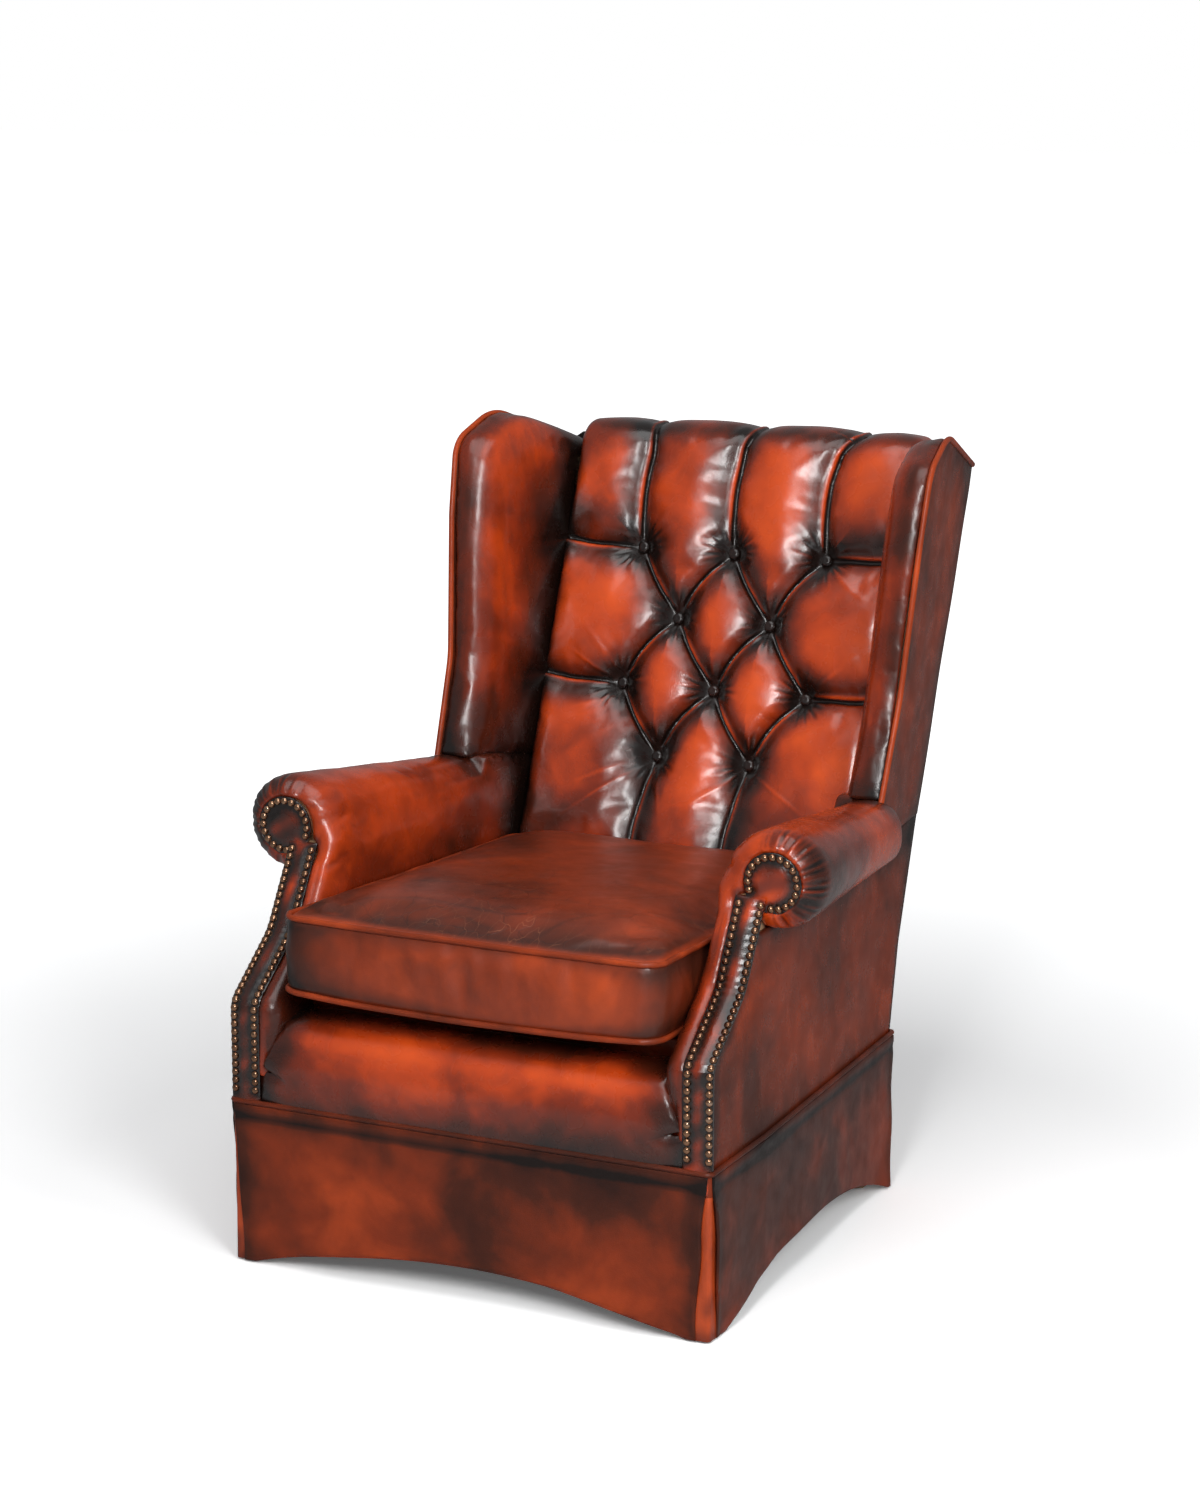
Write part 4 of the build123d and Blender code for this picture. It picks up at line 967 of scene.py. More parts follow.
# Painted highlight: the lip beside each fold is made lighter.
shade -= 0.42 * bell(fold_side - 6.0, 2.8) * clear_of_button
shade += 0.16 * np.clip(ripple(fine_flat, (90, 140, 210), 19), 0, 1) - 0.10 * stretch
below_crest = np.clip((crest_walk - 30 - fine_flat[:, 1]) / 50, 0.1, 1)
shade += 0.5 * fade(pad_half_width - np.abs(fine_flat[:, 0]), 16) * below_crest
# Darker over the crest.
crest_reach = np.abs(fine_flat[:, 1] - crest_walk + 14 + 8 * ripple(fine_flat, (50, 80), 23))
shade += 0.34 * bell(crest_reach, 26)
top_row = max(place[1] for place in button_places)
above_side_fold = bell(fine_flat[:, 1] - top_row - 34, 30)
shade += 0.34 * rising(np.abs(fine_flat[:, 0]) - 150, 40) * above_side_fold
# Painted shadow at the foot of the back, where the cushion stands against it.
cushion_line = 480
shade += 0.3 * fade(fine_flat[:, 1] - walk_at(cushion_line), 60)
shade += 0.2 * fade(profile_walk[-1] - fine_flat[:, 1], 60)
shade += 0.22 * hollows(fine_mesh, 5) - 0.04
paint(fine_mesh, "shade", shade)
inside_back = finish_piece(
    "inside_back_buttoned", fine_mesh, body_skin, ("inside_back",)
)
print("inside back", len(fine_mesh.vertices), "points")

# %% [markdown]
# ## Buttons
# Each button is a small leather-covered dome, gathered underneath and sunk in its dimple. All
# ten are one turned profile, placed at the CAD buttons, with a soft dent in the middle. One
# helper turns the buttons here and the nail heads later, as both are small turned shapes.


# %% Cover the buttons
def islands(mesh):
    """Groups of connected points of a mesh."""
    group = list(range(len(mesh.vertices)))

    def root(index):
        while group[index] != index:
            group[index] = group[group[index]]
            index = group[index]
        return index

    merged = {}
    points = read_points(mesh)
    for index, point in enumerate(points):
        key = tuple(np.round(point / 0.00002).astype(int))
        if key in merged:
            group[root(index)] = root(merged[key])
        merged[key] = index
    for first, second in read_edges(mesh):
        group[root(int(first))] = root(int(second))
    found = {}
    for index in range(len(points)):
        found.setdefault(root(index), []).append(index)
    return [points[members] for members in found.values()]


def turned_heads(name, seats, outline, sides):
    """Small turned heads in one mesh, from seats (centre, outward) and outline (radius, height)."""
    points, faces = [], []
    for centre, outward in seats:
        outward = Vector(outward).normalized()
        turn = outward.to_track_quat("Z", "Y")
        base = len(points)
        for radius, height in outline[:-1]:
            for side in range(sides):
                angle = 2 * math.pi * side / sides
                spot = turn @ Vector((radius * math.cos(angle), radius * math.sin(angle), height))
                points.append(Vector(centre) + spot)
        points.append(Vector(centre) + turn @ Vector((0, 0, outline[-1][1])))
        rings = len(outline) - 1
        for ring in range(rings - 1):
            for side in range(sides):
                low = base + ring * sides
                following = (side + 1) % sides
                high = low + sides
                faces.append((low + side, low + following, high + following, high + side))
        top = base + (rings - 1) * sides
        for side in range(sides):
            faces.append((top + side, top + (side + 1) % sides, len(points) - 1))
        faces.append(tuple(base + side for side in reversed(range(sides))))
    mesh = bpy.data.meshes.new(name)
    mesh.from_pydata([tuple(point) for point in points], [], faces)
    mesh.update()
    return mesh


face_slope = np.array(crest, float) - np.array(bend, float)
face_slope /= np.linalg.norm(face_slope)
face_out = Vector((0, -face_slope[1], face_slope[0]))
button_seats = []
for points in islands(node_mesh("back_buttons")):
    middle = Vector(points.mean(axis=0))
    lowest = min(Vector(point).dot(face_out) for point in points)
    button_seats.append((middle - face_out * (middle.dot(face_out) - lowest), face_out))
button_outline = [
    (0.0050, -0.003), (0.0074, 0.000), (0.0086, 0.0022), (0.0084, 0.0044),
    (0.0070, 0.0062), (0.0045, 0.0071), (0.0020, 0.0070), (0.0, 0.0067),
]
button_mesh = turned_heads("buttons", button_seats, button_outline, 24)
finish_piece("buttons", button_mesh, button_skin, ("back_buttons",))
print("buttons placed", len(button_seats))

# %% [markdown]
# ## Wings
# A wing is a padded board: soft leather on the inside, rolled over the front and top edges to a
# piping, and a flat panel outside. The pad comes from the CAD solid, remeshed and swollen. Its
# outer side stays flat against the board: a curved surface is fitted to the solid's outer side,
# and nothing may swell past it.

# %% Pad the wings
seam_back = rounded_line(((700, 541), (726, 640), (873, 1000), (945, 990)), (60, 30), 10)
wing_corners = ((559, 566), (610, 700), (640, 900), (664, 1000), (755, 1036), (945, 972))
wing_edge = rounded_line(wing_corners, (160, 160, 46, 90), 10)
arm_seam = np.array(((559.0, 566.0), (720.0, 541.0)))


def side_places(points):
    """(depth, height) of points in the side view, in millimetres."""
    return paired((points[:, 1] - front_plane) / mm, points[:, 2] / mm)


def surface_terms(seen):
    """Terms of a gently curved surface over the side view, with places in metres."""
    depth, height = seen.T / 1000
    return paired(np.ones_like(depth), depth, height, depth * height, depth**2, height**2)


wing_solid = node_mesh("inside_wing_right")
solid_points = read_points(wing_solid)
faces_out = read_normals(wing_solid)[:, 0] > 0.7
solid_terms = surface_terms(side_places(solid_points[faces_out]))
outer_fit = np.linalg.lstsq(solid_terms, solid_points[faces_out, 0], rcond=None)[0]
misfit = np.abs(solid_terms @ outer_fit - solid_points[faces_out, 0]).max() / mm
print("outer side of the wing fitted to", round(float(misfit), 2), "mm")
wing_mesh = even_mesh(wing_solid, 0.005, 4)
points = read_points(wing_mesh)
softer = relax(points, read_edges(wing_mesh), 70)
roll_side, above_arm = 338, 575
inward = rising(roll_side - points[:, 0] / mm, 16)
roll = fade(distance_to_line(side_places(points), wing_edge) - 10, 34) * inward
roll *= rising(points[:, 2] / mm - above_arm, 40)
write_points(wing_mesh, points + (softer - points) * roll[:, None])
wing_mesh = swell(wing_mesh, 2.5, 0.004, frames=10, spare=0.01)
wing_mesh = subdivided(wing_mesh)
points = read_points(wing_mesh)
seen = side_places(points)
folds_near_arm = ripple(seen * (1, 0.3), (21, 34, 47), 8)
folds_near_arm = folds_near_arm * fade(distance_to_line(seen, arm_seam), 34) * 1.4
points += read_normals(wing_mesh) * (folds_near_arm * mm)[:, None]
behind_panel = 0.0008
points[:, 0] = np.minimum(points[:, 0], surface_terms(seen) @ outer_fit - behind_panel)
write_points(wing_mesh, points)
print("wing pad", len(wing_mesh.vertices), "points")

# %% [markdown]
# Wax stays where a cloth can't reach: in the seam with the back, above the arm and along the
# piping. A band just inside the front roll is made lighter. The left wing is the right one
# mirrored.

# %% Shade the wings
wander = ripple(seen, (60, 90, 140), 3)
board_side, near_top = 300, 950
outward_share = rising(points[:, 0] / mm - board_side, 30)
low_down = 1 - 0.7 * rising(seen[:, 1] - near_top, 50)
from_seam = distance_to_line(seen, seam_back)
from_piping = distance_to_line(seen, wing_edge)
shade = 0.62 * fade(from_seam + 12 * wander, 46) * low_down
shade += 0.26 * fade(from_seam + 26 * wander, 110) * low_down
# A band just inside the front roll is made lighter.
shade -= 0.10 * bell(from_piping - 52, 26)
shade += 0.5 * fade(distance_to_line(seen, arm_seam) + 12 * wander, 60)
shade += 0.32 * outward_share * fade(from_piping, 34)
shade += 0.2 * hollows(wing_mesh)
paint(wing_mesh, "shade", shade)
for side, mesh in (("right", wing_mesh), ("left", mirrored_mesh(wing_mesh))):
    wing = finish_piece(
        f"inside_wing_pad_{side}", mesh, wing_skin, (f"inside_wing_{side}",)
    )
print("wings shaded from", round(shade.min(), 2), "to", round(shade.max(), 2))

# %% [markdown]
# ## Arms
# The inside arm is one hide that climbs the pad, rolls over the top and is gathered into small
# ruches round the scroll. The CAD solid has deep ruches all round. They are smoothed towards the
# seat, where the hide is pulled tight, and kept on the outer side of the scroll, with a finer
# wave between them. The roll also gets a little thinner towards the wing.

# %% Pad the arms
scroll_centre = np.array((349.0, 549.0))
scroll_front = 163
seat_side, scroll_inside, roll_outside = 297, 345, 352
arm_mesh = even_mesh(node_mesh("inside_arm_right"), 0.0045, 5)
points = read_points(arm_mesh)
seen = side_places(points)
low_front = rising(330 - seen[:, 1], 50) * rising(60 - seen[:, 0], 30)
covers_timber = rising(seat_side - points[:, 0] / mm, 6)
points[:, 1] += 0.008 * low_front * covers_timber
shoulder_line = np.array(((118.0, 462.0), (150.0, 505.0), (165.0, 530.0)))
near_scroll = fade(distance_to_line(seen, shoulder_line), 30) * covers_timber
near_wing = fade(distance_to_line(seen, arm_seam), 22)
round_front = fade(np.abs(seen[:, 0] - scroll_front - 8), 34) * rising(seen[:, 1] - 500, 20)
smooth_inner = round_front * rising(scroll_inside - points[:, 0] / mm, 16)
softer = relax(points, read_edges(arm_mesh), 40)
share = np.clip(near_scroll + 0.4 * near_wing + 0.9 * smooth_inner + 0.12 * round_front, 0, 1)
points += (softer - points) * share[:, None]
points[:, 2] += 0.003 * near_wing
rearward = rising(seen[:, 0] - 230, 420)
points[:, 0] -= 0.015 * rearward * rising(points[:, 0] / mm - roll_outside, 40)
write_points(arm_mesh, points)
arm_mesh = swell(arm_mesh, 2.5, 0.004, frames=10, spare=0.015)
arm_mesh = subdivided(arm_mesh)
points = read_points(arm_mesh)
behind = (points[:, 1] - front_plane) / mm - scroll_front
off = points[:, (0, 2)] / mm - scroll_centre
angle = np.arctan2(off[:, 1], off[:, 0])
spread = np.hypot(off[:, 0], off[:, 1])
gather = bell(behind - 14, 17) * rising(spread - 34, 10)
gather *= rising(off[:, 1] + 75, 40) * np.clip((off[:, 0] + 20) / 24, 0.1, 1)
ruches = (np.sin(31 * angle + 2 * np.sin(3 * angle)) + 0.6 * np.sin(47 * angle + 1)) * gather
creases = ripple(points / mm, (45, 70, 110, 160), 12) * 0.7
write_points(arm_mesh, points + read_normals(arm_mesh) * ((ruches * 0.5 + creases) * mm)[:, None])
print("arm pad", len(arm_mesh.vertices), "points")

# %% [markdown]
# The arm is rubbed by hands along its top and dark in its seams: behind, at the wing, under the
# roll and where the hide turns to the facing. Low on its inside, beside the cushion, it gets
# painted shade. Each gather holds a line of wax.

# %% Shade the arms
seen = side_places(points)
arm_front = rounded_line(((7, 254), (7, 352), (100, 424), (163, 530)), (28, 70), 10)
arm_rear = np.array(((655.0, 340.0), (660.0, 442.0), (700.0, 541.0), (690.0, 575.0)))
wander = ripple(points / mm, (50, 80, 130), 4)
shade = 0.6 * fade(distance_to_line(seen, arm_rear) + 14 * wander, 50)
shade += 0.45 * fade(distance_to_line(seen, arm_seam) + 10 * wander, 30)
# Painted shade low on the inside of the arm, beside the cushion.
shade += 0.4 * fade(seen[:, 1] - 400, 60) * rising(300 - points[:, 0] / mm, 20)
shade += 0.30 * gather + 0.5 * hollows(arm_mesh)
shade += 0.35 * rising(points[:, 0] / mm - 372, 30)
shade += 0.5 * rising(points[:, 0] / mm - 292, 10) * fade(distance_to_line(seen, arm_front), 8)
paint(arm_mesh, "shade", shade)
for side, mesh in (("right", arm_mesh), ("left", mirrored_mesh(arm_mesh))):
    arm = finish_piece(
        f"inside_arm_pad_{side}", mesh, arm_skin, (f"inside_arm_{side}",)
    )
print("arms shaded from", round(shade.min(), 2), "to", round(shade.max(), 2))

# %% [markdown]
# ## Nailed facings
# A strip of leather covers the front of the arm and ends in a disc on the scroll, edged with
# nails set nearly touching. The leather puffs up between the rows and dips at each nail, so the
# strip is cut into a fine grid and pushed in and out by its distance to the nails. The nails
# sit where the CAD has them, each turned to the slope of the leather under it.


# %% Nail heads and facings
def nail_seats(side):
    seats = []
    for points in islands(node_mesh(f"facing_nails_{side}")):
        middle = points.mean(axis=0)
        centred = points - middle
        _, _, axes = np.linalg.svd(centred)
        outward = axes[2] if axes[2][1] < 0 else -axes[2]
        base = (centred @ outward).min()
        seats.append((Vector(middle + outward * base), Vector(outward)))
    return seats


nail_outline = [
    (0.0044, -0.0006), (0.0050, 0.0002), (0.0049, 0.0009), (0.0043, 0.0020),
    (0.0033, 0.0029), (0.0018, 0.0035), (0.0, 0.0037),
]
puff_height = 4.2
disc_across, disc_height, disc_radius = 349, 549, 39
strip_inside, strip_outside, strip_top = 300, 341, 536
facing_covers = {}
for side in ("right", "left"):
    seats = nail_seats(side)
    nails_mesh = turned_heads(f"nails {side}", seats, nail_outline, 14)
    stands_for = (f"facing_nails_{side}",)
    finish_piece(f"nail_heads_{side}", nails_mesh, brass, stands_for)
    facing = gridded(node_mesh(f"arm_facing_{side}"), 0.004)
    points = read_points(facing)
    nail_points = np.array([tuple(seat[0]) for seat in seats])
    nearest = np.full(len(points), 1e9)
    for nail in nail_points:
        nearest = np.minimum(nearest, np.linalg.norm(points - nail, axis=1))
    nearest = nearest / mm
    puff = puff_height * rising(nearest - 3.5, 11) ** 0.7 - 0.3
    outer = read_normals(facing)[:, 1] < -0.2
    across = np.abs(points[:, 0]) / mm
    rim = rising(strip_outside - across, 5) * rising(across - strip_inside, 5)
    rim *= rising(strip_top - points[:, 2] / mm, 8)
    off_disc = np.hypot(across - disc_across, points[:, 2] / mm - disc_height)
    rim = np.maximum(rim, rising(disc_radius - off_disc, 5))
    points[:, 1] -= np.where(outer, puff * rim * mm, 0)
    write_points(facing, points)
    shade = 0.75 * fade(nearest - 3, 5) + 0.35 * (1 - rim)
    shade += 0.34 * ripple(points / mm, (24, 37, 60), 6) + 0.44
    facing = evened_normals(facing)
    paint(facing, "shade", shade)
    facing_covers[side] = finish_piece(
        f"arm_facing_cover_{side}", facing, body_skin, (f"arm_facing_{side}",)
    )
print("nails on each side", len(seats))

# %% [markdown]
# ## Front border
# Under the cushion the hide is stretched over a stuffed roll. A painted highlight runs along the
# nose of the roll, and both ends stay dark. The CAD pad steps in where it meets the arms; its ends
# are drawn out to the facings here, so that no timber shows between them.

# %% Pad the front border
border_mesh = even_mesh(node_mesh("front_border"), 0.0045, 5)
points = read_points(border_mesh)
rise = points[:, 2] / mm
across = np.abs(points[:, 0]) / mm
ahead = rising(34 - (points[:, 1] - front_plane) / mm, 16)
facing_side = 300
still_middle = 205
levels = np.arange(188, 345, 3.0)
ends = []
for level in levels:
    beside = np.abs(rise - level) < 5
    ends.append(across[beside].max() if beside.any() else facing_side)
end_here = np.interp(rise, levels, ends)
share = np.clip((across - still_middle) / (end_here - still_middle), 0, 1)
widen = share * np.maximum(facing_side - end_here, 0) * rising(322 - rise, 60) * ahead
points[:, 0] += np.sign(points[:, 0]) * widen * mm
step_height, step_across = 256, 246
lower_lip = rising(across - 262, 6) * rising(rise - 236, 12) * (rise < 262)
points[:, 2] += 0.010 * lower_lip
points = relax(points, read_edges(border_mesh), 3)
at_step = fade(np.abs(rise - step_height), 16) * rising(across - step_across, 14)
settled = (relax(points, read_edges(border_mesh), 40) - points) * at_step[:, None]
points[:, 1] += settled[:, 1]
write_points(border_mesh, points)
border_mesh = swell(border_mesh, 2.0, 0.004, frames=10, spare=0.01)
border_mesh = subdivided(border_mesh)
print("front border", len(border_mesh.vertices), "points")

# %% [markdown]
# The shade of the border follows its roll: painted shadow where the cushion overhangs it, a painted
# highlight along the nose, darker below the roll, and darker again at the welt and at both ends.

# %% Shade the front border
points = read_points(border_mesh)
height = points[:, 2] / mm
across = np.abs(points[:, 0]) / mm
wander = ripple(points / mm, (70, 110, 180), 9)
welt_height, roll_height, nose_height, painted_shadow_above = 222, 300, 312, 326
border_end = 266 + 34 * rising(roll_height - height, 60)
shade = 0.42 * fade(border_end - across + 12 * wander, 26)
shade += 0.3 * fade(height - welt_height + 10 * wander, 22)
shade += 0.2 * rising(roll_height - height, 40) * (0.6 + 0.4 * wander) + 0.2
# Painted shadow of the cushion along the top of the border.
shade += 0.35 * rising(height - painted_shadow_above + 3 * wander, 12)
# Painted highlight along the nose of the roll.
shade -= 0.2 * bell(height - nose_height, 12)
shade += 0.1 * hollows(border_mesh)
paint(border_mesh, "shade", shade)
border = finish_piece("front_border_pad", border_mesh, body_skin, ("front_border",))
print("border shaded from", round(shade.min(), 2), "to", round(shade.max(), 2))

# %% [markdown]
# ## Loose seat cushion
# The cushion is boxed: two crowned panels, a band between, and piping in both seams. Its seams
# are held during the simulation so that the piping still fits them. The seat slopes back a
# little, so the cushion is worked on in its own level frame.

# %% Swell the cushion
tilt = math.radians(2.8)
cushion_front = from_front(6)
cushion_low = 0.376
boxing = 0.096
seam_half_width = 0.264
seam_length = 0.632


def cushion_places(points):
    """Points in the cushion's own level frame, in metres: across, back from its front, up."""
    back = points[:, 1] - cushion_front
    up = points[:, 2] - cushion_low
    level_back = back * math.cos(tilt) - up * math.sin(tilt)
    level_up = back * math.sin(tilt) + up * math.cos(tilt)
    return paired(points[:, 0], level_back, level_up)


sag_depth, sag_reach, sag_half_width = 0.009, 0.16, 0.268


def sag_of_front(places):
    """The front of the cushion hangs a little in the middle, most at its lower seam."""
    near_front = fade(places[:, 1], sag_reach)
    middle = np.clip(1 - (places[:, 0] / sag_half_width) ** 2, 0, 1)
    lower = np.clip(1 - places[:, 2] / (boxing * 1.6), 0.1, 1)
    return -sag_depth * near_front * middle * lower


cushion_mesh = even_mesh(node_mesh("seat_cushion"), 0.005, 3)
points = read_points(cushion_mesh)
places = cushion_places(points)
across, back, level = places.T
rim_distance = np.minimum(seam_half_width - np.abs(across), np.minimum(back, seam_length - back))
near_seam = np.minimum(np.abs(level), np.abs(level - boxing))
hold = fade(near_seam, 0.004) * (rim_distance < 0.012)
cushion_mesh = swell(cushion_mesh, 2.4, 0.006, frames=12, held=hold, spare=0.012, calm=4)
cushion_mesh = subdivided(cushion_mesh)
print("cushion", len(cushion_mesh.vertices), "points")

# %% [markdown]
# Years of sitting pressed long creases into the top and let it buckle softly. The boxing is
# puckered where the band was eased round the front. The creases are lines drawn on the plan of
# the cushion: a groove with a raised side, fading with distance.

# %% Crease the cushion
pressed_creases = [
    (((-0.19, 0.05), (-0.10, 0.075), (0.03, 0.06), (0.12, 0.085)), (0.1, 0.1)),
    (((-0.03, 0.10), (0.06, 0.13), (0.17, 0.12)), (0.1,)),
    (((-0.16, 0.13), (-0.05, 0.16), (0.02, 0.145)), (0.1,)),
    (((0.09, 0.03), (0.13, 0.09), (0.20, 0.13)), (0.1,)),
    (((-0.08, 0.02), (-0.04, 0.05), (0.02, 0.03)), (0.05,)),
    (((0.12, 0.16), (0.18, 0.24), (0.20, 0.33)), (0.1,)),
]
points = read_points(cushion_mesh)
normals = read_normals(cushion_mesh)
places = cushion_places(points)
across, back, level = places.T
on_top = rising(level - boxing - 0.001, 0.006)
on_side = 1 - np.clip(np.abs(normals[:, 2]) * 1.6 - 0.3, 0, 1)
plan = places[:, :2]
pressed = np.full(len(points), 1e9)
for corners, radii in pressed_creases:
    pressed = np.minimum(pressed, distance_to_line(plan, rounded_line(corners, radii, 0.01)))
pressed += 0.0012 * ripple(plan, (0.012, 0.019, 0.03), 2)
creasing = -0.55 * bell(pressed, 0.0022) + 0.5 * bell(pressed - 0.007, 0.005)
pucker = ripple(paired(across, level * 0.45), (0.024, 0.037, 0.055), 7)
pucker *= bell(across + 0.01, 0.10) * bell(level - 0.058, 0.03)
buckle = ripple(plan, (0.09, 0.14, 0.2, 0.31), 11) * 1.6
side_waves = pucker * 4.4 + 0.9 * ripple(places, (0.05, 0.08, 0.13), 3)
detail = on_top * (0.18 * creasing + 0.6 * buckle) + on_side * side_waves
points = points + normals * (detail * mm)[:, None]
points[:, 2] += sag_of_front(places)
write_points(cushion_mesh, points)
print("creases", len(pressed_creases))

# %% [markdown]
# The top has lost its gloss and cracked a little towards the front, so a second attribute named
# "cracked" asks the recipe for cracks there. The boxing keeps its wax beside both seams; along the
# front it is darker towards its left end and lighter a little right of the middle.

# %% Shade the cushion and fit its piping
side_half_width = 0.266
from_side = side_half_width - np.abs(across)
wander = ripple(places, (0.06, 0.10, 0.17), 21)
seam = np.minimum(np.abs(level), np.abs(level - boxing))
rim = np.minimum(from_side, np.minimum(back, seam_length - back))
shade = on_side * (0.45 * fade(seam + 0.004 * wander, 0.016) + 0.35 * fade(from_side, 0.05))
shade += on_top * (0.42 * fade(rim + 0.012 * wander, 0.045) + 0.22)
on_front = on_side * rising(0.03 - back, 0.02)
# Along the front: darker towards the left end, lighter a little right of the middle.
shade += on_front * (0.36 * rising(-0.10 - across, 0.14) - 0.24 * bell(across - 0.07, 0.15))
shade += on_top * 0.06 * fade(pressed, 0.003) + 0.2 * hollows(cushion_mesh)
paint(cushion_mesh, "shade", shade)
paint(cushion_mesh, "cracked", on_top * (0.7 + 0.4 * wander) * fade(back - 0.16, 0.2))
cushion = finish_piece(
    "seat_cushion_cover", cushion_mesh, cushion_skin, ("seat_cushion",),
    "cushion",
)

for level_name in ("bottom", "top"):
    piping = gridded(node_mesh(f"cushion_piping_{level_name}"), 0.012)
    points = read_points(piping)
    places = cushion_places(points)
    points[:, 2] += sag_of_front(places) + 0.0007 * ripple(points, (0.06, 0.1, 0.17), 14)
    write_points(piping, points)
    piping = subdivided(piping)
    paint(piping, "shade", 0.25 * ripple(read_points(piping), (0.05, 0.09, 0.2), 5) + 0.02)
    finish_piece(
        f"cushion_piping_cord_{level_name}", piping, piping_skin,
        (f"cushion_piping_{level_name}",), "cushion",
    )
print("cushion shaded and piped")

# %% [markdown]
# ## Stretched hides
# Facings, outside arms, outside wings and the outside back are thin hides pulled tight over the
# frame and tacked down. For the facings, a helper works out the places on the hide across and
# along its slope, in millimetres; nothing is kept of them.


# %% Measure the thin hides
def waved(node_name, pitch, push):
    """CAD sheet in a fine grid, each point moved by what push(points) gives, in metres."""
    mesh = gridded(node_mesh(node_name), pitch)
    points = read_points(mesh)
    write_points(mesh, points + push(points))
    return evened_normals(mesh)


def edge_fade(value, low, high, reach):
    """0 at either end of a span and 1 well inside it."""
    return np.clip((value - low) / reach, 0, 1) * np.clip((high - value) / reach, 0, 1)


def seen_flat(points):
    """Places on a hide that leans back, across and along its slope, in millimetres."""
    slant = np.hypot(np.ptp(points[:, 1]), np.ptp(points[:, 2])) / np.ptp(points[:, 2])
    return paired(points[:, 0], points[:, 2] * slant) / mm


for side, cover in facing_covers.items():
    seen_flat(read_points(cover.data))

# %% [markdown]
# The outside panels are nearly flat, drawn in a little between their edges, with faint puckers at
# the nails. Each is the CAD sheet cut into a grid and moved as one sheet, which keeps its
# thickness. Above its waist the arm panel is pulled forward to meet the scroll.

# %% Drape the outside panels
arm_panel_foot, wing_panel_foot, arm_panel_head = 222, 508, 486
waist_height, waist_depth = 424, 103

for side, sign in (("right", 1), ("left", -1)):
    def arm_panel_push(points):
        depth, height = side_places(points).T
        inside = edge_fade(depth, 20, 660, 70)
        inside = inside * edge_fade(height, arm_panel_foot, arm_panel_head, 50)
        pull = ripple(paired(depth * 0.5, height), (90, 140, 230), 31) * 1.6 - 1.8
        near_nails = fade(distance_to_line(side_places(points), arm_front) - 8, 26)
        tucks = ripple(paired(depth, height), (17, 26, 39), 33) * near_nails * 1.1
        move = np.zeros_like(points)
        move[:, 0] = sign * (pull * inside + tucks) * mm
        return move

    def wing_panel_push(points):
        depth, height = side_places(points).T
        near = distance_to_line(side_places(points), wing_edge)
        inside = rising(near, 40) * rising(height - 512, 30)
        move = np.zeros_like(points)
        wave = ripple(paired(depth, height * 0.5), (80, 120, 200), 35) * 1.2 + 1.0
        move[:, 0] = sign * inside * wave * mm
        return move

    for part, push in (("outside_arm", arm_panel_push), ("outside_wing", wing_panel_push)):
        mesh = waved(f"{part}_{side}", 0.010, push)
        points = read_points(mesh)
        seen = side_places(points)
        rear_edge = 684 + 0.4124 * np.maximum(seen[:, 1] - 340, 0)
        shade = 0.2 * fade(rear_edge - seen[:, 0], 24)
        if part == "outside_arm":
            over_waist = np.clip(seen[:, 1] - waist_height, 0, 64)
            from_edge = seen[:, 0] - waist_depth - over_waist
            pulled = 0.42 * over_waist * np.clip(1 - from_edge / 70, 0, 1) * (seen[:, 0] < 300)
            points[:, 1] -= pulled * mm
            write_points(mesh, points)
            shade += 0.12 * fade(seen[:, 1] - arm_panel_foot, 26)
            shade += 0.35 * fade(arm_panel_head - seen[:, 1], 30) * (seen[:, 0] > 160)
            shade += 0.45 * fade(distance_to_line(seen, arm_front) - 6, 14)
        else:
            shade += 0.2 * fade(distance_to_line(seen, wing_edge), 24)
            shade += 0.12 * fade(seen[:, 1] - wing_panel_foot, 26)
        paint(mesh, "shade", shade)
        panel = finish_piece(
            f"{part}_panel_{side}", mesh, dark_shaded_panel_skin, (f"{part}_{side}",)
        )
print("outside panels draped")

# %% [markdown]
# The back of the chair is covered last, with one hide from the crest to the skirt, blind-tacked
# at its sides. Nothing fills it, so it hangs a little hollow between the posts.


# %% Drape the outside back
panel_half_width = 300
panel_low, panel_high = 230, 975


def back_panel_push(points):
    depth, height = side_places(points).T
    across = points[:, 0] / mm
    inside = edge_fade(across, -panel_half_width, panel_half_width, 60)
    inside = inside * edge_fade(height, panel_low, panel_high, 80)
    move = np.zeros_like(points)
    wave = ripple(paired(across, height * 0.6), (120, 190, 300), 41) * 1.8 - 1.0
    move[:, 1] = inside * wave * mm
    return move


rear_mesh = waved("outside_back", 0.012, back_panel_push)
points = read_points(rear_mesh)
rear_shade = 0.4 * fade(panel_half_width - np.abs(points[:, 0]) / mm, 40)
rear_shade += 0.4 * fade(points[:, 2] / mm - 225, 40)
rear_shade += 0.3 * fade(985 - points[:, 2] / mm, 40)
paint(rear_mesh, "shade", rear_shade)
rear_panel = finish_piece(
    "outside_back_panel", rear_mesh, dark_shaded_panel_skin, ("outside_back",)
)
print("outside back", len(rear_mesh.vertices), "points")

# %% [markdown]
# ## Seat platform
# Under the loose cushion the webs carry a stuffed platform, covered in plain hide. It shows
# when the cushion is lifted out. The CAD slab is gridded, dished a little in the middle, where
# the seat has given, and given low waves like any cover that has been sat on.


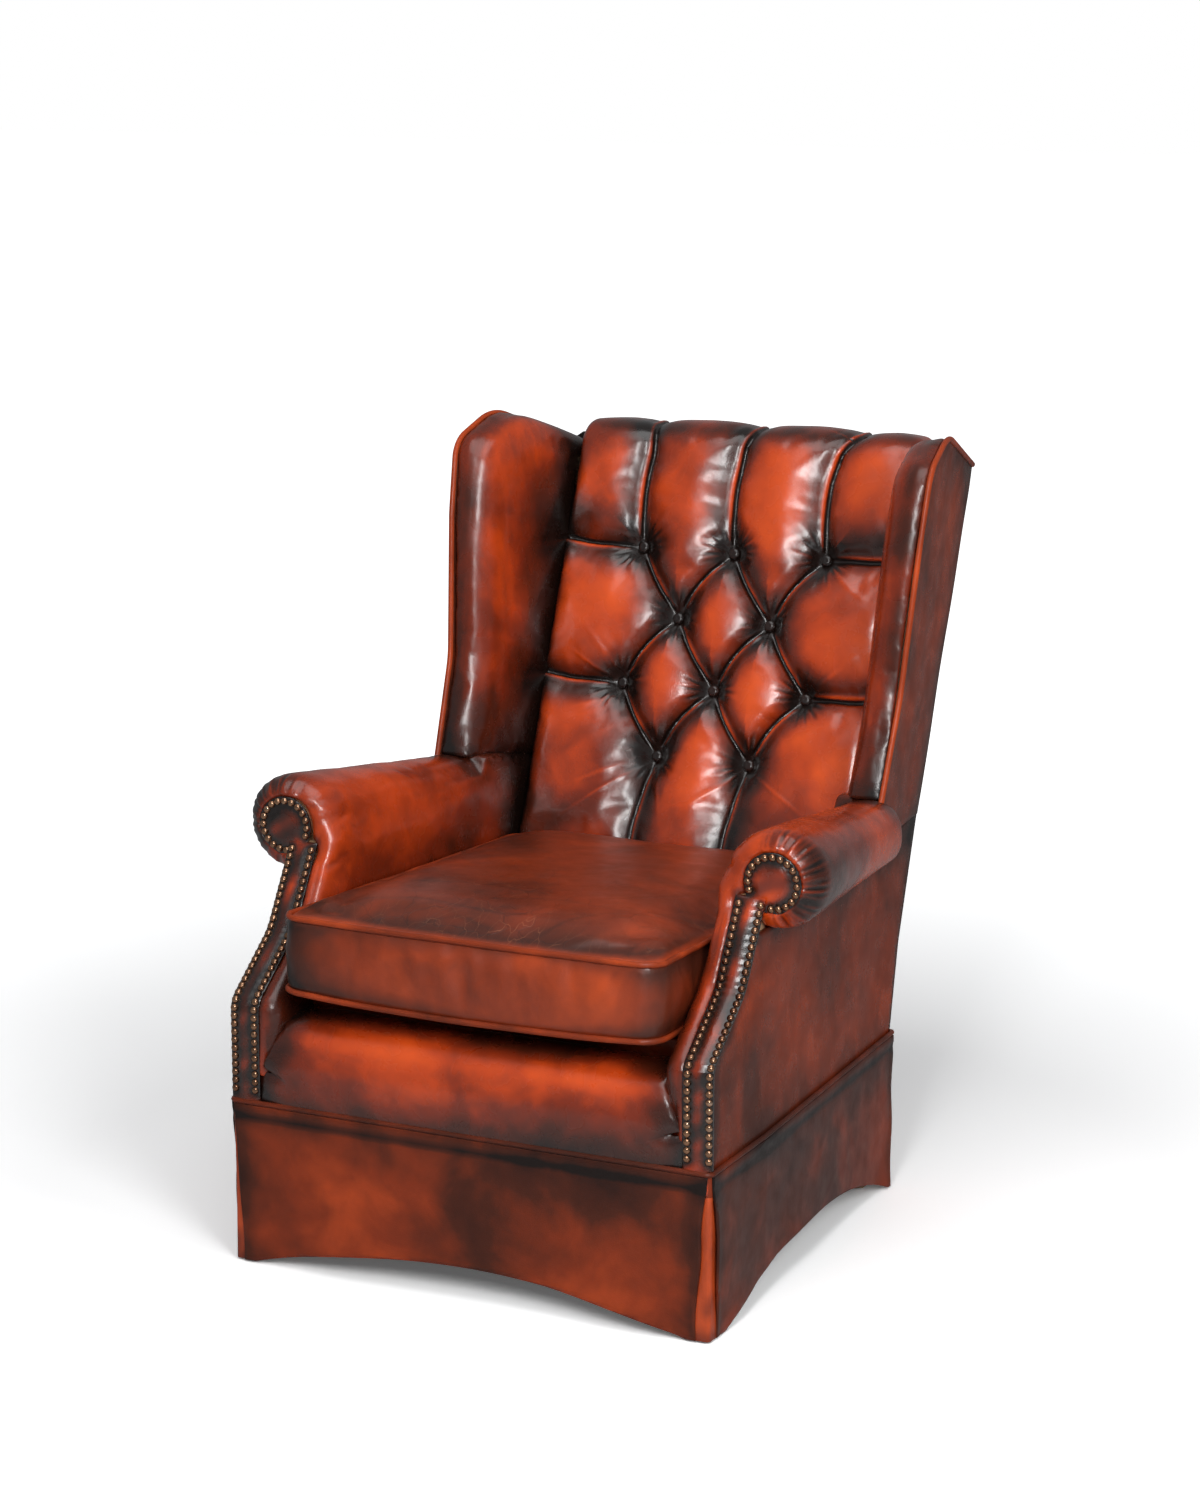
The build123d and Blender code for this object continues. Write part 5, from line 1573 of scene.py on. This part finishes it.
# %% Dish the seat platform
def platform_push(points):
    middle = (points.max(axis=0) + points.min(axis=0)) / 2
    half = (points.max(axis=0) - points.min(axis=0)) / 2
    off = np.abs(points[:, :2] - middle[:2]) / half[:2]
    inside = rising(1 - off.max(axis=1), 0.3)
    move = np.zeros_like(points)
    move[:, 2] = -inside * (2.5 + 0.9 * ripple(points[:, :2] / mm, (60, 95, 150), 61)) * mm
    return move


platform_mesh = waved("seat_platform", 0.012, platform_push)
platform = finish_piece(
    "seat_platform_cover", platform_mesh, dark_shaded_panel_skin, ("seat_platform",)
)
print("seat platform", len(platform_mesh.vertices), "points")

# %% [markdown]
# ## Skirt
# Four valance panels hang from a tacking strip under the welt, and hide the feet. Their hems are
# cut in a low arch and turned at the ends. The leather is fixed at the top and free below, so it
# waves more towards the hem. A cloth simulation of a hanging hide would need the strip, the feet
# and the pleats as obstacles; a wave that grows with the fall gives the same look and stays put.

# %% Hang the skirt
skirt_top = 216
stitched_depth = 14
band_height = 200
wave_depth = 7.0
skirt_panels = {
    "skirt_front": (0, 0.668, -1),
    "skirt_rear": (0, 0.640, 1),
    "skirt_left": (1, 0.640, -1),
    "skirt_right": (1, 0.640, 1),
}


def hung(name, along_axis, sign):
    """Skirt panel waved out of its plane, more towards the hem, with turned hems at its ends."""
    mesh = gridded(node_mesh(name), 0.008)
    points = read_points(mesh)
    along = points[:, along_axis] / mm
    height = points[:, 2] / mm
    low, high = along.min(), along.max()
    fall = rising(skirt_top - stitched_depth - height, 200)
    wave = ripple(paired(along, height * 0.35), (95, 150, 240, 410), 50 + len(name)) * wave_depth
    end_reach = np.minimum(along - low, high - along)
    flutter = ripple(paired(along, height * 0.25), (30, 43, 61), 60 + len(name)) * 3.4
    wave += flutter * bell(end_reach - 30, 45)
    turned_hem = 0.9 * np.clip(1 - np.abs(end_reach - 7) / 8, 0, 1) * rising(205 - height, 20)
    band = 1.2 * bell(height - band_height, 5)
    move = np.zeros_like(points)
    move[:, 1 - along_axis] = sign * (np.maximum(wave, -3.0) * fall**1.3 + turned_hem - band) * mm
    opening = 4.5 + 2.5 * np.sin(height / 23 + along_axis)
    opening = opening * np.clip(fall * 3, 0, 1) * fade(end_reach, 34)
    seen_left = 0.2 if along_axis == 0 else 1.0
    move[:, along_axis] = np.where(along - low < high - along, opening * seen_left, -opening) * mm
    write_points(mesh, points + move)
    mesh = evened_normals(mesh)
    wander = ripple(paired(along, height), (40, 70, 120), 6)
    shade = 0.38 * fade(skirt_top - height + 14 * wander, 50)
    shade += 0.35 * fade(end_reach + 5 * wander, 22)
    # Painted shade in the hollows of the waves and a painted highlight on their crests.
    shade += 0.25 * bell(height - band_height, 3.5) + 0.12 * hollows(mesh) - 0.022 * wave * fall
    paint(mesh, "shade", shade)
    return mesh


for name, (axis, width, sign) in skirt_panels.items():
    panel_mesh = hung(name, axis, sign)
    panel = finish_piece(f"{name}_panel", panel_mesh, skirt_skin, (name,))
print("skirt panels", len(skirt_panels))

# %% [markdown]
# A folded piece of hide closes each corner behind the two panels. Little of it shows, in the slit
# between them, where it keeps its bright dye because no wax cloth reached it.


# %% Fold the corner pleats
def pleat_push(points):
    height = points[:, 2] / mm
    fall = rising(skirt_top - 26 - height, 190)
    outward = np.sign(points.mean(axis=0)) * (1, 1, 0)
    plan = np.abs(points[:, :2])
    reach = (plan.max(axis=0) - plan).sum(axis=1)
    wave = np.clip(ripple(points * (1, 1, 0.6) / mm, (36, 58, 95), 71), -1, 1)
    return outward * (wave * fall * fade(reach, 0.03) * 0.9 * mm)[:, None]


for end in ("front", "rear"):
    for side in ("left", "right"):
        node_name = f"{end}_corner_pleat_{side}"
        mesh = waved(node_name, 0.008, pleat_push)
        spots = read_points(mesh) / mm
        wander = ripple(spots, (25, 45, 80), 17)
        paint(mesh, "shade", 0.3 * np.clip(wander, 0, 1) + 0.3 * fade(spots[:, 2] - 8, 10))
        pleat = finish_piece(f"{node_name}_fold", mesh, pleat_skin, (node_name,))
print("corner pleats folded")

# %% [markdown]
# ## Studio
# One tall soft box stands close to the camera's side and draws the long highlights on the
# pillows; a twin in the same place adds gloss only. Two boxes on the right, one on the left and
# one above fill in the colour. The side boxes have their gloss switched off, because their
# reflections would veil the dark wax.


# %% Light the scene
def soft_box(name, place, aim, width, height, power):
    lamp = bpy.data.lights.new(name, "AREA")
    lamp.shape = "RECTANGLE"
    lamp.size, lamp.size_y = width, height
    lamp.energy = power
    holder = in_scene(name, lamp)
    holder.location = place
    holder.rotation_euler = (Vector(aim) - Vector(place)).to_track_quat("-Z", "Y").to_euler()
    return holder


key_place = (0.92, -3.0, 2.15)
seat_middle = (0, 0, 0.6)
soft_box("key soft box", key_place, seat_middle, 0.50, 1.10, 36)
gloss_lamp = soft_box("gloss soft box", key_place, seat_middle, 0.50, 1.10, 42)
right_lamp = soft_box("right soft box", (2.3, -2.3, 1.95), seat_middle, 0.9, 1.3, 44)
side_lamp = soft_box("far right soft box", (3.0, -1.1, 1.7), seat_middle, 0.6, 1.5, 16)
fill_lamp = soft_box("left soft box", (-2.4, -3.0, 1.8), seat_middle, 0.7, 1.9, 6)
soft_box("top soft box", (0.2, -0.9, 3.2), (0, 0, 0.5), 2.0, 2.0, 26)
gloss_lamp.visible_diffuse = False
for lamp in (right_lamp, side_lamp, fill_lamp):
    lamp.visible_glossy = False
print("lamps", [lamp.name for lamp in bpy.data.lights])

# %% [markdown]
# The room and the floor are pure white for the camera only, as on a cut-out photograph; the
# leather sees a dim pale room instead, and just a breath of white in its gloss. Near the chair
# the floor's own light is held back, so its shadow stays.


# %% Make the room and the floor
def shown_white(tree):
    """1 for the camera, a little for glossy rays, and 0 for the light on the chair."""
    path = add(tree, "ShaderNodeLightPath").outputs
    seen_pale = maths(tree, "MAXIMUM", path["Is Camera Ray"], path["Is Transmission Ray"])
    mirrored = maths(tree, "MULTIPLY", path["Is Glossy Ray"], 0.06)
    return maths(tree, "MAXIMUM", seen_pale, mirrored)


world = bpy.data.worlds.new("pale room")
bpy.context.scene.world = world
world.use_nodes = True
tree = world.node_tree
tree.nodes.clear()
white = add(tree, "ShaderNodeBackground", {"Color": (1, 1, 1, 1), "Strength": 1.0})
room = add(tree, "ShaderNodeBackground", {"Color": (0.95, 0.97, 1.0, 1), "Strength": 0.2})
chosen = add(tree, "ShaderNodeMixShader", {
    0: shown_white(tree), 1: room.outputs[0], 2: white.outputs[0],
})
add(tree, "ShaderNodeOutputWorld", {"Surface": chosen.outputs[0]})

floor_finish, tree, surface = new_finish("white floor")
wire(tree, surface, {
    "Base Color": (0.42, 0.42, 0.42, 1), "Roughness": 0.9, "Specular IOR Level": 0.1,
})
place = add(tree, "ShaderNodeNewGeometry").outputs["Position"]
far = add(tree, "ShaderNodeVectorMath", {0: place}, operation="LENGTH").outputs["Value"]
strength = mapped(tree, far, 0.8, 2.8, 0.09, 1.0)
lift = add(tree, "ShaderNodeEmission", {"Color": (1, 1, 1, 1), "Strength": strength})
brighter = add(tree, "ShaderNodeBsdfDiffuse", {"Color": (0.95, 0.95, 0.95, 1)})
paler = add(tree, "ShaderNodeAddShader", {0: surface.outputs[0], 1: brighter.outputs[0]})
lifted = add(tree, "ShaderNodeAddShader", {0: paler.outputs[0], 1: lift.outputs[0]})
chosen = add(tree, "ShaderNodeMixShader", {
    0: shown_white(tree), 1: surface.outputs[0], 2: lifted.outputs[0],
})
tree.links.new(chosen.outputs[0], tree.nodes["Material Output"].inputs["Surface"])
floor_mesh = bpy.data.meshes.new("floor")
floor_half = 30.0
floor_corners = [
    (x * floor_half, y * floor_half, 0) for x, y in ((-1, -1), (1, -1), (1, 1), (-1, 1))
]
floor_mesh.from_pydata(floor_corners, [], [(0, 1, 2, 3)])
floor_mesh.materials.append(floor_finish)
floor = in_scene("floor", floor_mesh)
print("studio ready")
